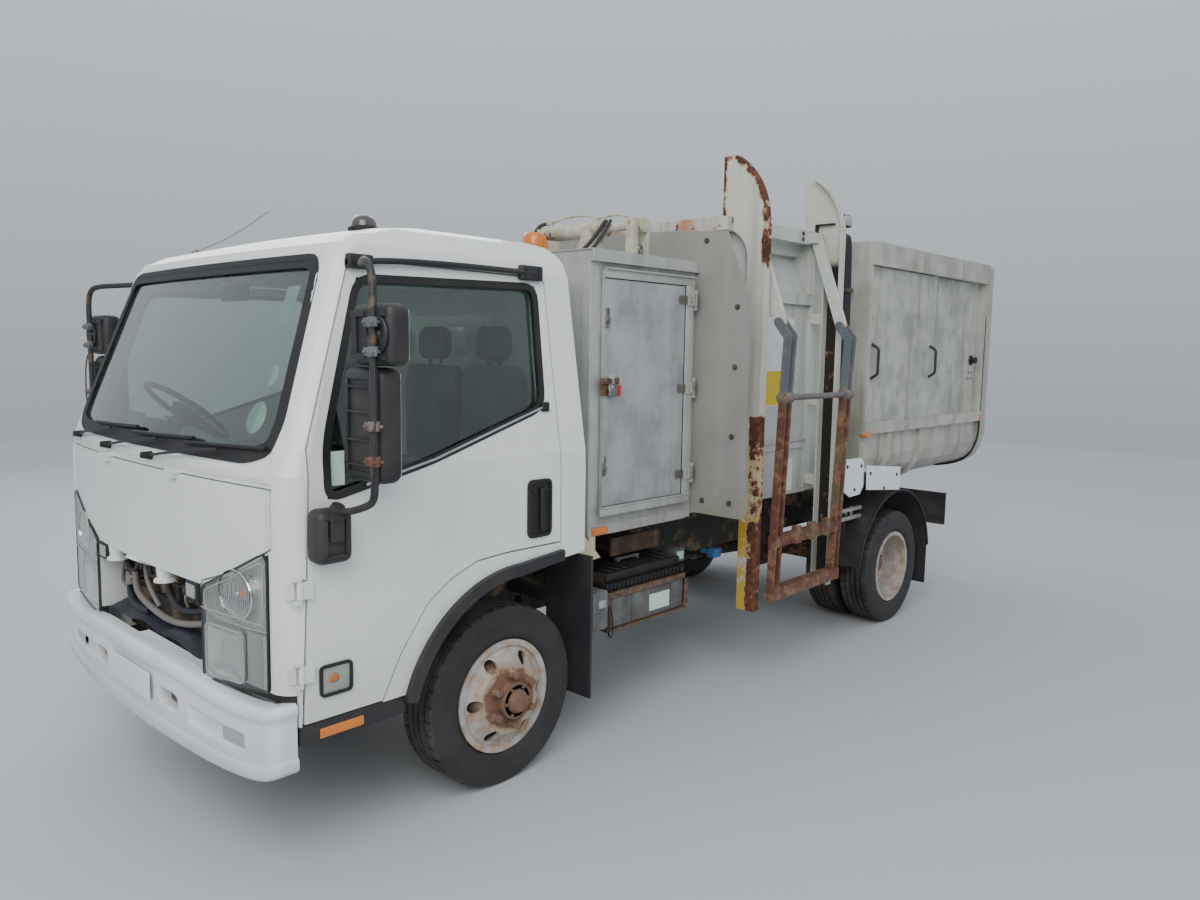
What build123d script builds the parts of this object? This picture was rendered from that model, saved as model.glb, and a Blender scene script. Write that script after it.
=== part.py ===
from build123d import *
import os
from math import cos, radians, sin

os.makedirs("parts", exist_ok=True)

# A forward-control truck with a side-loading refuse body. Millimetres. +Z is up, the truck faces -Y and
# its nearside, the kerb side with the bin lift, is +X. The origin is on the ground below the middle.
# Places along the truck are given from the front axle and turned into the part's own Y by along().

# Axles and ends
wheelbase = 3365
front_overhang = 1118
tail_end = 4990


def along(y):
    """Y in the part's frame of a place y behind the front axle."""
    return y - (tail_end - front_overhang) / 2


# Tyres and rims
tyre_radius = 378
tyre_width = 211
rim_radius = 222
rim_lip = 14
rim_half_width = 95
dish_depth = 127
twin_spacing = 2 * dish_depth
hub_radius = 72
spindle_radius = 30
running_gap = 0.08
stud_circle = 105
stud_count = 6
stud_reach = 42
right_wheel_turn = 20
axle_height = tyre_radius
front_track = 1680
rear_track = 1650
kingpin_x = 690

# Chassis
rail_outer = 425
rail_flange = 65
rail_web = 7
rail_bottom = 600
rail_top = 790
rail_front = -960
rail_rear = 4360
spring_x = 385
spring_width = 60

# Cab
cab_half = 1020
cab_floor = 559
cab_belt = 1360
cab_roof = 2270
cab_rear = 375
cab_wall = 32
cab_pivot_y = -780
cab_pivot_z = 780
cab_pivot_radius = 20
tunnel_half = 500
grille_top = 960
door_gap = 7
door_thickness = 46
glass_thickness = 5

# Bodywork behind the cab
pod_half = 868
pod_front = 552
pod_rear = 1312
pod_floor = 956
pod_top = 2250
panel = 20
wing_half = 1180
wing_plate = 8
hopper_half = 860
hopper_front = 1330
hopper_floor = 970
hopper_top = 2420
rail_x = (958, 1065)
rail_y = (1637, 2483)
rail_foot = 420
horn_top = 2826
box_front = 2897
box_rear = 4860
box_half = 1027
box_floor = 900
box_top = 2500
box_wall = 30
move_gap = 5
seat_gap = 0.3


def block(x, y, z, mode=Mode.ADD):
    """Box between low and high values of x, of y behind the front axle, and of z."""
    with Locations(((x[0] + x[1]) / 2, along((y[0] + y[1]) / 2), (z[0] + z[1]) / 2)):
        Box(x[1] - x[0], y[1] - y[0], z[1] - z[0], mode=mode)


def side_plate(outline, x, grow=0, mode=Mode.ADD):
    """Plate of a (y, z) outline between two values of x, its outline offset outwards by grow."""
    with BuildSketch(Plane.YZ.offset(x[0])) as face:
        with BuildLine():
            Polyline([(along(y), z) for y, z in outline], close=True)
        make_face()
        if grow:
            offset(amount=grow, kind=Kind.INTERSECTION, mode=Mode.REPLACE)
    extrude(face.sketch, amount=x[1] - x[0], mode=mode)


def cross_plate(outline, y, grow=0, mode=Mode.ADD):
    """Plate of an (x, z) outline between two places along the truck, offset outwards by grow."""
    with BuildSketch(Plane.XZ.offset(-along(y[0]))) as face:
        with BuildLine():
            Polyline(outline, close=True)
        make_face()
        if grow:
            offset(amount=grow, kind=Kind.INTERSECTION, mode=Mode.REPLACE)
    extrude(face.sketch, amount=y[0] - y[1], mode=mode)


def bar_x(x, y, z, radius, mode=Mode.ADD):
    """Round bar along X at (y, z)."""
    with Locations(Plane(((x[0] + x[1]) / 2, along(y), z), x_dir=(0, 1, 0), z_dir=(1, 0, 0))):
        Cylinder(radius, x[1] - x[0], mode=mode)


def bar_y(x, y, z, radius, mode=Mode.ADD):
    """Round bar along Y at (x, z)."""
    with Locations(Plane((x, along((y[0] + y[1]) / 2), z), x_dir=(1, 0, 0), z_dir=(0, 1, 0))):
        Cylinder(radius, y[1] - y[0], mode=mode)


def bar_z(x, y, z, radius, mode=Mode.ADD):
    """Round bar along Z at (x, y)."""
    with Locations((x, along(y), (z[0] + z[1]) / 2)):
        Cylinder(radius, z[1] - z[0], mode=mode)


def hose(points, radius):
    """Round bar along a route of (x, y, z) points, bent between its runs."""
    route = [(x, along(y), z) for x, y, z in points]
    with BuildLine() as path:
        FilletPolyline(route, radius=radius * 3)
    with BuildSketch(Plane(origin=path.line @ 0, z_dir=path.line % 0)) as section:
        Circle(radius)
    sweep(section.sketch, path=path.line)


def write(sub_part, name):
    """Label one sub-part and write it as a STEP of that name."""
    sub_part.label = name
    export_step(sub_part, f"parts/{name}.step")


# Chassis frame: two channels, their crossmembers, the cab's hinge brackets and the subframe runners
crossmembers = (-930, 1150, 1700, 2400, 3000, 3800, 4330)
runner_front = 1345
runner_top = box_floor - 40
tip_pivot_y = 4400
tip_pivot_z = 840
tip_pin = 16
with BuildPart() as chassis_frame:
    for side in (-1, 1):
        outer = side * rail_outer
        inner = side * (rail_outer - rail_web)
        lip = side * (rail_outer - rail_flange)
        block(sorted((outer, inner)), (rail_front, rail_rear), (rail_bottom, rail_top))
        block(sorted((outer, lip)), (rail_front, rail_rear), (rail_bottom, rail_bottom + rail_web))
        block(sorted((outer, lip)), (rail_front, rail_rear), (rail_top - rail_web, rail_top))
        block(sorted((outer, lip)), (runner_front, rail_rear), (rail_top, runner_top))
        block(sorted((outer, side * (tunnel_half - move_gap))), (cab_pivot_y - 45, cab_pivot_y + 45),
              (rail_bottom + 40, cab_pivot_z + 40))
        bar_x(sorted((outer, side * (tunnel_half + 40))), cab_pivot_y, cab_pivot_z, cab_pivot_radius)
        for low, high in ((345, 362), (405, 422)):
            bar_x(sorted((side * low, side * high)), tip_pivot_y, tip_pivot_z, 38)
            block(sorted((side * low, side * high)), (rail_rear - 60, tip_pivot_y + 38), (rail_top - 60, tip_pivot_z))
        bar_x(sorted((side * 345, side * 422)), tip_pivot_y, tip_pivot_z, tip_pin)
    for y in crossmembers:
        block((-rail_outer + rail_web, rail_outer - rail_web), (y - 30, y + 30),
              (rail_bottom + rail_web, rail_top - rail_web))
write(chassis_frame.part, "chassis_frame")

# Front axle: a dropped forged beam whose end eyes carry the kingpins
eye_radius = 36
eye_half_height = 45
kingpin_radius = 18
beam_half_width = 40
with BuildPart() as front_axle:
    cross_plate(((-kingpin_x, axle_height - 35), (-520, axle_height - 35), (-430, axle_height - 105),
                 (430, axle_height - 105), (520, axle_height - 35), (kingpin_x, axle_height - 35),
                 (kingpin_x, axle_height + 35), (500, axle_height + 35), (410, axle_height - 30),
                 (-410, axle_height - 30), (-500, axle_height + 35), (-kingpin_x, axle_height + 35)),
                (-beam_half_width + 8, beam_half_width - 8))
    for side in (-1, 1):
        bar_z(side * kingpin_x, 0, (axle_height - eye_half_height, axle_height + eye_half_height), eye_radius)
        bar_z(side * kingpin_x, 0, (axle_height - 82, axle_height + 82), kingpin_radius)
        block(sorted((side * (spring_x - 45), side * (spring_x + 45))), (-60, 60),
              (axle_height - 60, axle_height - 15))
write(front_axle.part, "front_axle")

# Leaf springs: a pack at each rail, clamped on its axle and hung from the rail by eye brackets
spring_sets = (
    # name, axle place, half length, seat height, leaves
    ("front", 0, 620, axle_height - 15, 4),
    ("rear", wheelbase, 640, axle_height + 75, 7),
)
leaf = 11
with BuildPart() as leaf_springs:
    for _, place, half, seat, leaves in spring_sets:
        for side in (-1, 1):
            x = sorted((side * (spring_x - spring_width / 2), side * (spring_x + spring_width / 2)))
            top = seat + leaf * leaves
            for n in range(leaves):
                reach = half * (n + 1) / leaves
                z = (seat + leaf * n, seat + leaf * (n + 1))
                block(x, (place - reach, place + reach), z)
            for end in (-1, 1):
                eye = place + end * (half - 30)
                block(x, (eye - 28, eye + 28), (top, rail_bottom))
            block(x, (place - 55, place + 55), (top, top + 18))
write(leaf_springs.part, "leaf_springs")

# Rear axle: banjo housing with its differential, hub tubes and the propeller shaft to the gearbox
drum_radius = 140
drum_depth = 150
housing_radius = 52
housing_end = rear_track / 2 - 12 - drum_depth - 6
banjo_depth = 120
prop_radius = 40
gearbox_rear = 1060
prop_height = 560
with BuildPart() as rear_axle:
    bar_x((-housing_end, housing_end), wheelbase, axle_height, housing_radius)
    bar_x((-rear_track / 2 + 2, rear_track / 2 - 2), wheelbase, axle_height, spindle_radius)
    bar_y(0, (wheelbase - banjo_depth, wheelbase + banjo_depth), axle_height, 165)
    fillet(rear_axle.edges().filter_by(GeomType.CIRCLE).group_by(SortBy.RADIUS)[-1], 40)
    for side in (-1, 1):
        block(sorted((side * (spring_x - 45), side * (spring_x + 45))), (wheelbase - 60, wheelbase + 60),
              (axle_height + 20, axle_height + 75))
write(rear_axle.part, "rear_axle")

with BuildPart() as propeller_shaft:
    start = Vector(0, along(gearbox_rear - 20), prop_height - 30)
    finish = Vector(0, along(wheelbase - banjo_depth + 20), axle_height + 4)
    with Locations(Plane((start + finish) * 0.5, z_dir=finish - start)):
        Cylinder(prop_radius, (finish - start).length)
    block((-90, 90), (gearbox_rear - 80, gearbox_rear + seat_gap), (400, 700), mode=Mode.SUBTRACT)
    block((-90, 90), (wheelbase - banjo_depth - seat_gap, wheelbase), (200, 500), mode=Mode.SUBTRACT)
write(propeller_shaft.part, "propeller_shaft")

# Engine and gearbox: one plain block on the rails, the gearbox behind it
engine_x = 330
engine_y = (-560, 420)
engine_z = (480, 1110)
with BuildPart() as engine:
    block((-engine_x, engine_x), engine_y, engine_z)
    block((-190, 190), (engine_y[1], gearbox_rear), (prop_height - 150, prop_height + 150))
    for side in (-1, 1):
        block(sorted((side * engine_x, side * (rail_outer - rail_web))), (-120, 120), (640, 720))
write(engine.part, "engine")

# Radiator pack behind the open grille, on its two feet
radiator_top = 930
with BuildPart() as radiator:
    block((-330, 330), (-720, -640), (500, radiator_top))
    block((-345, 345), (-735, -720), (850, 885))
    for side in (-1, 1):
        block(sorted((side * 330, side * (rail_outer - rail_web))), (-710, -650), (640, 700))
write(radiator.part, "radiator")

# Silencer, tail pipe and their hangers on the offside
silencer_x = -640
with BuildPart() as exhaust:
    bar_y(silencer_x, (700, 1350), 560, 130)
    bar_y(silencer_x, (1350, 1700), 520, 38)
    bar_y(silencer_x, (560, 700), 590, 38)
    for y in (800, 1250):
        block((silencer_x - 20, -rail_outer), (y - 25, y + 25), (650, 710))
write(exhaust.part, "exhaust")

# Fuel tank on the offside, strapped to the rail
with BuildPart() as fuel_tank:
    block((-900, -rail_outer - 30), (1780, 2640), (430, 830))
    fillet(fuel_tank.edges().filter_by(Axis.Y), 55)
    for y in (1950, 2470):
        block((-rail_outer - 32, -rail_outer), (y - 30, y + 30), (rail_bottom + 20, rail_top - 20))
write(fuel_tank.part, "fuel_tank")

# Battery, its tray and the bracket above it, on the nearside rail
battery_x = (500, 850)
battery_y = (690, 1310)
battery_z = (480, 668)
with BuildPart() as battery_box:
    block(battery_x, battery_y, (battery_z[0], battery_z[1] - 8))
    block((battery_x[0] + 30, battery_x[1] - 25), (battery_y[0] + 25, battery_y[1] - 25),
          (battery_z[1] - 8, battery_z[1] + 75))
    block((rail_outer, battery_x[0]), (battery_y[0] + 60, battery_y[0] + 110), (620, 660))
    block((rail_outer, battery_x[0]), (battery_y[1] - 110, battery_y[1] - 60), (620, 660))
    block((rail_outer, 700), (900, 1280), (810, 822))
    block((rail_outer, 437), (900, 1280), (740, 822))
    block((688, 700), (900, 1280), (780, 870))
write(battery_box.part, "battery_box")


def tyre(centre_x, y):
    """Tyre about the axle line, its tread flat and its shoulders round."""
    half = tyre_width / 2
    tread = half - 18
    bead = rim_half_width - 14
    with BuildSketch(Plane((0, along(y), axle_height), x_dir=(1, 0, 0), z_dir=(0, -1, 0))) as section:
        with BuildLine():
            Polyline((centre_x - bead, rim_radius + 1), (centre_x - bead, rim_radius + rim_lip + 2),
                     (centre_x - half + 6, rim_radius + 32),
                     (centre_x - half, rim_radius + 74), (centre_x - half + 5, tyre_radius - 32),
                     (centre_x - tread, tyre_radius), (centre_x + tread, tyre_radius),
                     (centre_x + half - 5, tyre_radius - 32), (centre_x + half, rim_radius + 74),
                     (centre_x + half - 6, rim_radius + 32),
                     (centre_x + bead, rim_radius + rim_lip + 2), (centre_x + bead, rim_radius + 1),
                     close=True)
        make_face()
    revolve(section.sketch, axis=Axis((0, along(y), axle_height), (1, 0, 0)))


def rim(centre_x, y, out, turn=0):
    """Rim and dished disc with hand holes; out is +1 or -1, the side the dish points to, turn how far it has rolled."""
    wall = 9
    u = [centre_x + out * a for a in (-rim_half_width, rim_half_width, 60, dish_depth)]
    with BuildSketch(Plane((0, along(y), axle_height), x_dir=(1, 0, 0), z_dir=(0, -1, 0))) as section:
        with BuildLine():
            Polyline((u[0], rim_radius + rim_lip), (u[0] + out * wall, rim_radius + rim_lip),
                     (u[0] + out * (wall + 4), rim_radius), (u[1] - out * (wall + 4), rim_radius),
                     (u[1] - out * wall, rim_radius + rim_lip), (u[1], rim_radius + rim_lip),
                     (u[1], rim_radius - 10), (u[2] + out * 22, rim_radius - 14), (u[2] + out * 30, 190),
                     (u[3], 150), (u[3], hub_radius), (u[3] - out * 12, hub_radius),
                     (u[3] - out * 12, 142), (u[2] + out * 12, 184), (u[2], rim_radius - 14),
                     (u[0], rim_radius - 10), close=True)
        make_face()
    revolve(section.sketch, axis=Axis((0, along(y), axle_height), (1, 0, 0)))
    holes = Plane((centre_x + out * 90, along(y), axle_height), x_dir=(0, 1, 0), z_dir=(1, 0, 0))
    with Locations(holes):
        with PolarLocations(168, stud_count, start_angle=turn):
            Cylinder(27, 120, mode=Mode.SUBTRACT)


def hub(centre_x, y, out, cap, turn=0):
    """Hub through the disc, its studs, the brake drum inboard and the bore that runs on the spindle."""
    face = centre_x + out * dish_depth
    back = face - out * 12
    bar_x(sorted((face + out * cap, back - out * 60)), y, axle_height, hub_radius)
    bar_x(sorted((back, back - out * drum_depth)), y, axle_height, drum_radius)
    studs = Plane((face + out * stud_reach / 2, along(y), axle_height), x_dir=(0, 1, 0), z_dir=(1, 0, 0))
    with Locations(studs):
        with PolarLocations(stud_circle, stud_count, start_angle=30 + turn):
            Cylinder(15, stud_reach + 2)
    bar_x(sorted((face, back - out * 160)), y, axle_height, spindle_radius + running_gap, mode=Mode.SUBTRACT)


# Front wheels, their knuckles and stub axles
front_x = front_track / 2
for side, name, turn in ((1, "left", 0), (-1, "right", right_wheel_turn)):
    with BuildPart() as front_tyre:
        tyre(side * front_x, 0)
    write(front_tyre.part, f"front_{name}_tyre")
    with BuildPart() as front_wheel:
        rim(side * front_x, 0, side, turn)
        hub(side * front_x, 0, side, 45, turn)
    write(front_wheel.part, f"front_{name}_wheel")
    with BuildPart() as knuckle:
        tip = side * (front_x + dish_depth - 2)
        web = sorted((side * (kingpin_x + 48), side * (kingpin_x + 80)))
        bar_x(sorted((side * (kingpin_x + 60), tip)), 0, axle_height, spindle_radius)
        block(web, (-45, 45), (axle_height - 80, axle_height + 80))
        for level in (-1, 1):
            z = sorted((axle_height + level * (eye_half_height + 5), axle_height + level * 80))
            block(sorted((side * kingpin_x, web[0] if side > 0 else web[1])), (-36, 36), z)
            bar_z(side * kingpin_x, 0, z, 36)
            bar_z(side * kingpin_x, 0, z, kingpin_radius + running_gap, mode=Mode.SUBTRACT)
        block(sorted((side * (kingpin_x - 20), side * (kingpin_x + 20))), (36, 190),
              (axle_height - 80, axle_height - 60))
    write(knuckle.part, f"{name}_knuckle")

# Rear twin wheels: two tyres and two rims a side, bolted face to face on one hub
rear_x = rear_track / 2
for side, name in ((1, "left"), (-1, "right")):
    outer = side * (rear_x + twin_spacing / 2)
    inner = side * (rear_x - twin_spacing / 2)
    with BuildPart() as rear_tyres:
        tyre(outer, wheelbase)
        tyre(inner, wheelbase)
    write(rear_tyres.part, f"rear_{name}_tyres")
    with BuildPart() as rear_wheels:
        rim(outer, wheelbase, -side)
        rim(inner, wheelbase, side)
        hub(inner, wheelbase, side, 110)
    write(rear_wheels.part, f"rear_{name}_wheels")

# Front bumper: a hollow moulding round the front, with a recess for the plate, two vents and fog lamps
bumper_half = 1018
bumper_bottom = 338
bumper_top = 660
bumper_skin = 22
bumper_side_end = -985


def bumper_plan(inset, height):
    """Plan of the bumper's front at a height, drawn in by inset."""
    half = bumper_half - inset
    front = along(-front_overhang + inset)
    corner = along(-1062 + inset)
    ending = along(bumper_side_end + (1 if inset else 0))
    with BuildSketch(Plane.XY.offset(height)) as plan:
        with BuildLine():
            Line((half, ending), (half, corner + 50))
            ThreePointArc((half, corner + 50), (half - 26, corner + 13), (half - 85, corner))
            ThreePointArc((half - 85, corner), (0, front), (85 - half, corner))
            ThreePointArc((85 - half, corner), (26 - half, corner + 13), (-half, corner + 50))
            Line((-half, corner + 50), (-half, ending))
            Line((-half, ending), (half, ending))
        make_face()
    return plan.sketch


with BuildPart() as bumper:
    extrude(bumper_plan(0, bumper_bottom), amount=bumper_top - 40 - bumper_bottom)
    loft([bumper_plan(0, bumper_top - 40), bumper_plan(14, bumper_top)], ruled=True)
    extrude(bumper_plan(bumper_skin, bumper_bottom - 1), amount=bumper_top - bumper_bottom + 2,
            mode=Mode.SUBTRACT)
    block((-265, 190), (-1200, -1108), (445, 620), mode=Mode.SUBTRACT)
    for side in (-1, 1):
        x = sorted((-36 + side * 275, -36 + side * 425))
        block(x, (-1200, -1000), (458, 532), mode=Mode.SUBTRACT)
        block(sorted((side * 655, side * 800)), (-1200, -1074), (440, 502), mode=Mode.SUBTRACT)
        block(sorted((side * 340, side * rail_outer)), (-1086, rail_front), (rail_bottom, bumper_top - 25))
write(bumper.part, "bumper")

# Cab: plan sections from the sill to the roof; front_mid is on the centre line, front_corner where the
# corner's curve starts, and side_start where the side does
cab_sections = (
    # z, front_mid, front_corner, side_start, half, rear
    (cab_floor, -1066, -1006, -930, cab_half, cab_rear),
    (cab_belt - 60, -1061, -1001, -926, cab_half, cab_rear),
    (1385, -1054, -994, -916, cab_half - 3, cab_rear),
    (1435, -1038, -979, -901, cab_half - 12, cab_rear),
    (2110, -765, -735, -680, 905, cab_rear - 8),
    (2160, -732, -700, -648, 889, cab_rear - 18),
    (2200, -660, -622, -566, 860, cab_rear - 32),
    (2232, -540, -500, -440, 816, cab_rear - 55),
    (2256, -370, -335, -290, 735, cab_rear - 90),
    (cab_roof, -130, -100, -70, 560, cab_rear - 160),
)
roof_start = 2050
corner_width = 110


def cab_body(inset, bottom, mode=Mode.ADD):
    """Loft of the cab's sections, drawn in by inset all round and at the roof."""
    sections = []
    for z, front_mid, front_corner, side_start, half, rear in cab_sections:
        x = half - inset
        start = along(side_start + inset)
        corner = along(front_corner + inset)
        middle = along(front_mid + inset)
        back = along(rear - inset)
        height = bottom if z == cab_floor else z - inset * min(max(z - roof_start, 0) / 150, 1)
        cut = x - corner_width
        bulge = (x - corner_width * 0.28, corner + (start - corner) * 0.28)
        with BuildSketch(Plane.XY.offset(height)) as section:
            with BuildLine():
                Line((x, back), (x, start))
                ThreePointArc((x, start), bulge, (cut, corner))
                ThreePointArc((cut, corner), (0, middle), (-cut, corner))
                ThreePointArc((-cut, corner), (-bulge[0], bulge[1]), (-x, start))
                Line((-x, start), (-x, back))
                Line((-x, back), (x, back))
            make_face()
        sections.append(section.sketch)
    loft(sections, ruled=True, mode=mode)


door_outline = ((-947, cab_floor), (-640, cab_floor), (-560, 715), (-444, 873), (-340, 945), (-211, 994),
                (-60, 1003), (235, 1003), (228, 2075), (210, 2100), (-684, 2105), (-907, 1473))
window_outline = ((153, 1568), (-120, 1487), (-410, 1400), (-843, 1303), (-838, 1480), (-660, 2040),
                  (171, 2060))
screen_outline = ((-760, 1432), (760, 1432), (850, 1462), (884, 1532), (808, 2060), (775, 2105), (-775, 2105),
                  (-808, 2060), (-884, 1532), (-850, 1462))
lamp_outline = ((520, 672), (928, 672), (928, 1134), (900, 1120), (690, 1020), (520, 968))
lid_outline = ((-940, 1340), (-940, 1152), (-690, 1034), (-517, 980), (-505, 963), (505, 963), (517, 980),
               (690, 1034), (940, 1152), (940, 1340))
seat_floor = grille_top + 30
nose_bottom = bumper_top + 8
nose_rear = -955
arch_radius = 530


def mirrored(outline, side):
    """Outline of (x, z) points on the nearside for side 1, or its mirror image for side -1."""
    return [(side * x, z) for x, z in outline]


# What the cab holds inside its skin: footwells in front of the wheel houses, the seat floor over them
with BuildPart() as cab_cavity:
    cab_body(cab_wall, cab_floor + cab_wall)
    block((-1200, 1200), (-575, 450), (400, seat_floor), mode=Mode.SUBTRACT)
    block((-tunnel_half - 30, tunnel_half + 30), (-1200, 450), (400, seat_floor), mode=Mode.SUBTRACT)
    block((-395, 395), (-650, 450), (900, 1195), mode=Mode.SUBTRACT)
    block((-1200, 1200), (-1200, -915), (400, nose_bottom + cab_wall), mode=Mode.SUBTRACT)

# The side skins' zone that the two doors fill
door_depth = door_thickness + 14
with BuildPart() as door_zone:
    cab_body(-8, cab_floor - 1)
    cab_body(door_depth, cab_floor - 2, mode=Mode.SUBTRACT)
    side_plate(door_outline, (-1200, 1200), mode=Mode.INTERSECT)

# Recesses in the nose for the front lid and for the two lamps
lid_depth = 16
lamp_depth = 24
with BuildPart() as lid_recess:
    cab_body(-12, cab_floor - 1)
    cab_body(lid_depth, cab_floor - 2, mode=Mode.SUBTRACT)
    cross_plate(lid_outline, (-1200, -800), grow=move_gap, mode=Mode.INTERSECT)
with BuildPart() as lamp_prisms:
    for side in (-1, 1):
        cross_plate(mirrored(lamp_outline, side), (-1200, -962))
with BuildPart() as lamp_recess:
    cab_body(-12, cab_floor - 1)
    cab_body(lamp_depth, cab_floor - 2, mode=Mode.SUBTRACT)
    add(lamp_prisms.part, mode=Mode.INTERSECT)

# Cab shell: hollow, with openings for the doors, screens, grille and wheel arches, its hinge pins on it
lid_hinges = (-330, 330)
lid_hinge_y = -1072
lid_hinge_z = 1346
lid_pin = 3
hinge_x = 1027
hinge_y = -950
hinge_levels = ((712, 768), (992, 1048))
hinge_pin = 6
hinge_barrel = 11
with BuildPart() as cab_shell:
    cab_body(0, cab_floor)
    add(cab_cavity.part, mode=Mode.SUBTRACT)
    block((-1200, 1200), (-1200, nose_rear), (500, nose_bottom), mode=Mode.SUBTRACT)
    with BuildSketch(Plane.YZ.offset(-1200)) as arch:
        with BuildLine():
            Line((along(-arch_radius), 300), (along(-arch_radius), axle_height))
            ThreePointArc((along(-arch_radius), axle_height),
                          (along(-arch_radius * cos(radians(45))), axle_height + arch_radius * sin(radians(45))),
                          (along(0), axle_height + arch_radius))
            Polyline((along(0), axle_height + arch_radius), (along(200), 930), (along(450), 952),
                     (along(450), 300), (along(-arch_radius), 300))
        make_face()
    extrude(arch.sketch, amount=2400, mode=Mode.SUBTRACT)
    block((-tunnel_half, tunnel_half), (-1200, 450), (300, grille_top), mode=Mode.SUBTRACT)
    block((-365, 365), (-620, 450), (900, 1165), mode=Mode.SUBTRACT)
    add(door_zone.part, mode=Mode.SUBTRACT)
    cross_plate(screen_outline, (-1200, -640), mode=Mode.SUBTRACT)
    block((-450, 450), (300, 450), (1560, 1960), mode=Mode.SUBTRACT)
    block((-480, 480), (-1200, -1000), (1000, 1310), mode=Mode.SUBTRACT)
    for side in (-1, 1):
        boss = sorted((side * tunnel_half, side * (tunnel_half + 60)))
        bar_x(boss, cab_pivot_y, cab_pivot_z, 48)
        bar_x(boss, cab_pivot_y, cab_pivot_z, cab_pivot_radius + running_gap, mode=Mode.SUBTRACT)
        for low, high in hinge_levels:
            bar_z(side * hinge_x, hinge_y, (low - 4, high + 4), hinge_barrel + move_gap, mode=Mode.SUBTRACT)
            block(sorted((side * 1000, side * 1040)), (hinge_y, hinge_y + 48), (low - 4, high + 4),
                  mode=Mode.SUBTRACT)
            block(sorted((side * 985, side * (hinge_x - 8))), (hinge_y - 34, hinge_y - hinge_barrel - move_gap), (low, high))
            bar_z(side * hinge_x, hinge_y, (low - 18, high + 18), hinge_pin)
            for z in ((low - 18, low - 4), (high + 4, high + 18)):
                block(sorted((side * 1000, side * (hinge_x + 7))), (hinge_y - 20, hinge_y + 3), z)
    add(lid_recess.part, mode=Mode.SUBTRACT)
    for x in lid_hinges:
        bar_x((x - 34, x + 34), lid_hinge_y, lid_hinge_z, lid_pin)
        for end in (x - 34, x + 28):
            block((end, end + 6), (lid_hinge_y - 5, -1030), (lid_hinge_z - 4.5, lid_hinge_z + 14))
    add(lamp_recess.part, mode=Mode.SUBTRACT)
write(cab_shell.part, "cab_shell")

with BuildPart() as headlamps:
    cab_body(-6, cab_floor - 1)
    cab_body(lamp_depth, cab_floor - 2, mode=Mode.SUBTRACT)
    add(lamp_prisms.part, mode=Mode.INTERSECT)
write(headlamps.part, "headlamps")

with BuildPart() as front_lid:
    cab_body(-4, cab_floor - 1)
    cab_body(9, cab_floor - 2, mode=Mode.SUBTRACT)
    cross_plate(lid_outline, (-1200, -800), mode=Mode.INTERSECT)
    for x in lid_hinges:
        bar_x((x - 25, x + 25), lid_hinge_y, lid_hinge_z, lid_pin + 4)
        block((x - 25, x + 25), (lid_hinge_y - 5, -1046), (lid_hinge_z - 20, lid_hinge_z - 4))
        bar_x((x - 25, x + 25), lid_hinge_y, lid_hinge_z, lid_pin + running_gap, mode=Mode.SUBTRACT)
write(front_lid.part, "front_lid")

# Windscreen and rear window, set a little into their openings
glass_inset = 6
with BuildPart() as screen_prisms:
    cross_plate(screen_outline, (-1200, -640))
    block((-450, 450), (300, 450), (1560, 1960))
with BuildPart() as cab_glass:
    cab_body(glass_inset, cab_floor)
    cab_body(glass_inset + glass_thickness, cab_floor - 1, mode=Mode.SUBTRACT)
    add(screen_prisms.part, mode=Mode.INTERSECT)
write(cab_glass.part, "cab_glass")

# Seats, dashboard and steering wheel, on the offside for the driver
seat_sets = (
    # low x, high x
    (-880, -400),
    (60, 880),
)
wheel_place = (-640, -600, 1490)
with BuildPart() as cab_interior:
    for low, high in seat_sets:
        block((low, high), (-420, 60), (1195 + seat_gap, 1330))
        block((low + 15, high - 15), (90, 210), (1210, 1760))
        block((low + 30, high - 30), (60, 120), (1200, 1330))
        if low < -tunnel_half:
            block((low + 20, low + 90), (-380, 20), (seat_floor + seat_gap, 1196))
        block((high - 90, high - 20), (-380, 20), (seat_floor + seat_gap, 1196))
    block((-860, 860), (-925, -780), (1130, 1425))
    block((-140, 140), (-900, -800), (seat_floor + seat_gap, 1131))
    block((-700, -580), (-840, -700), (1250, 1400))
    with Locations(Plane((wheel_place[0], along(wheel_place[1]), wheel_place[2]), z_dir=(0, 0.62, 0.78))):
        Torus(205, 13)
        Cylinder(24, 50)
        Box(396, 26, 14)
    with Locations(Plane((wheel_place[0], along(-640), 1375), z_dir=(0, 0.62, 0.78))):
        Cylinder(28, 230)
write(cab_interior.part, "cab_interior")

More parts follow.
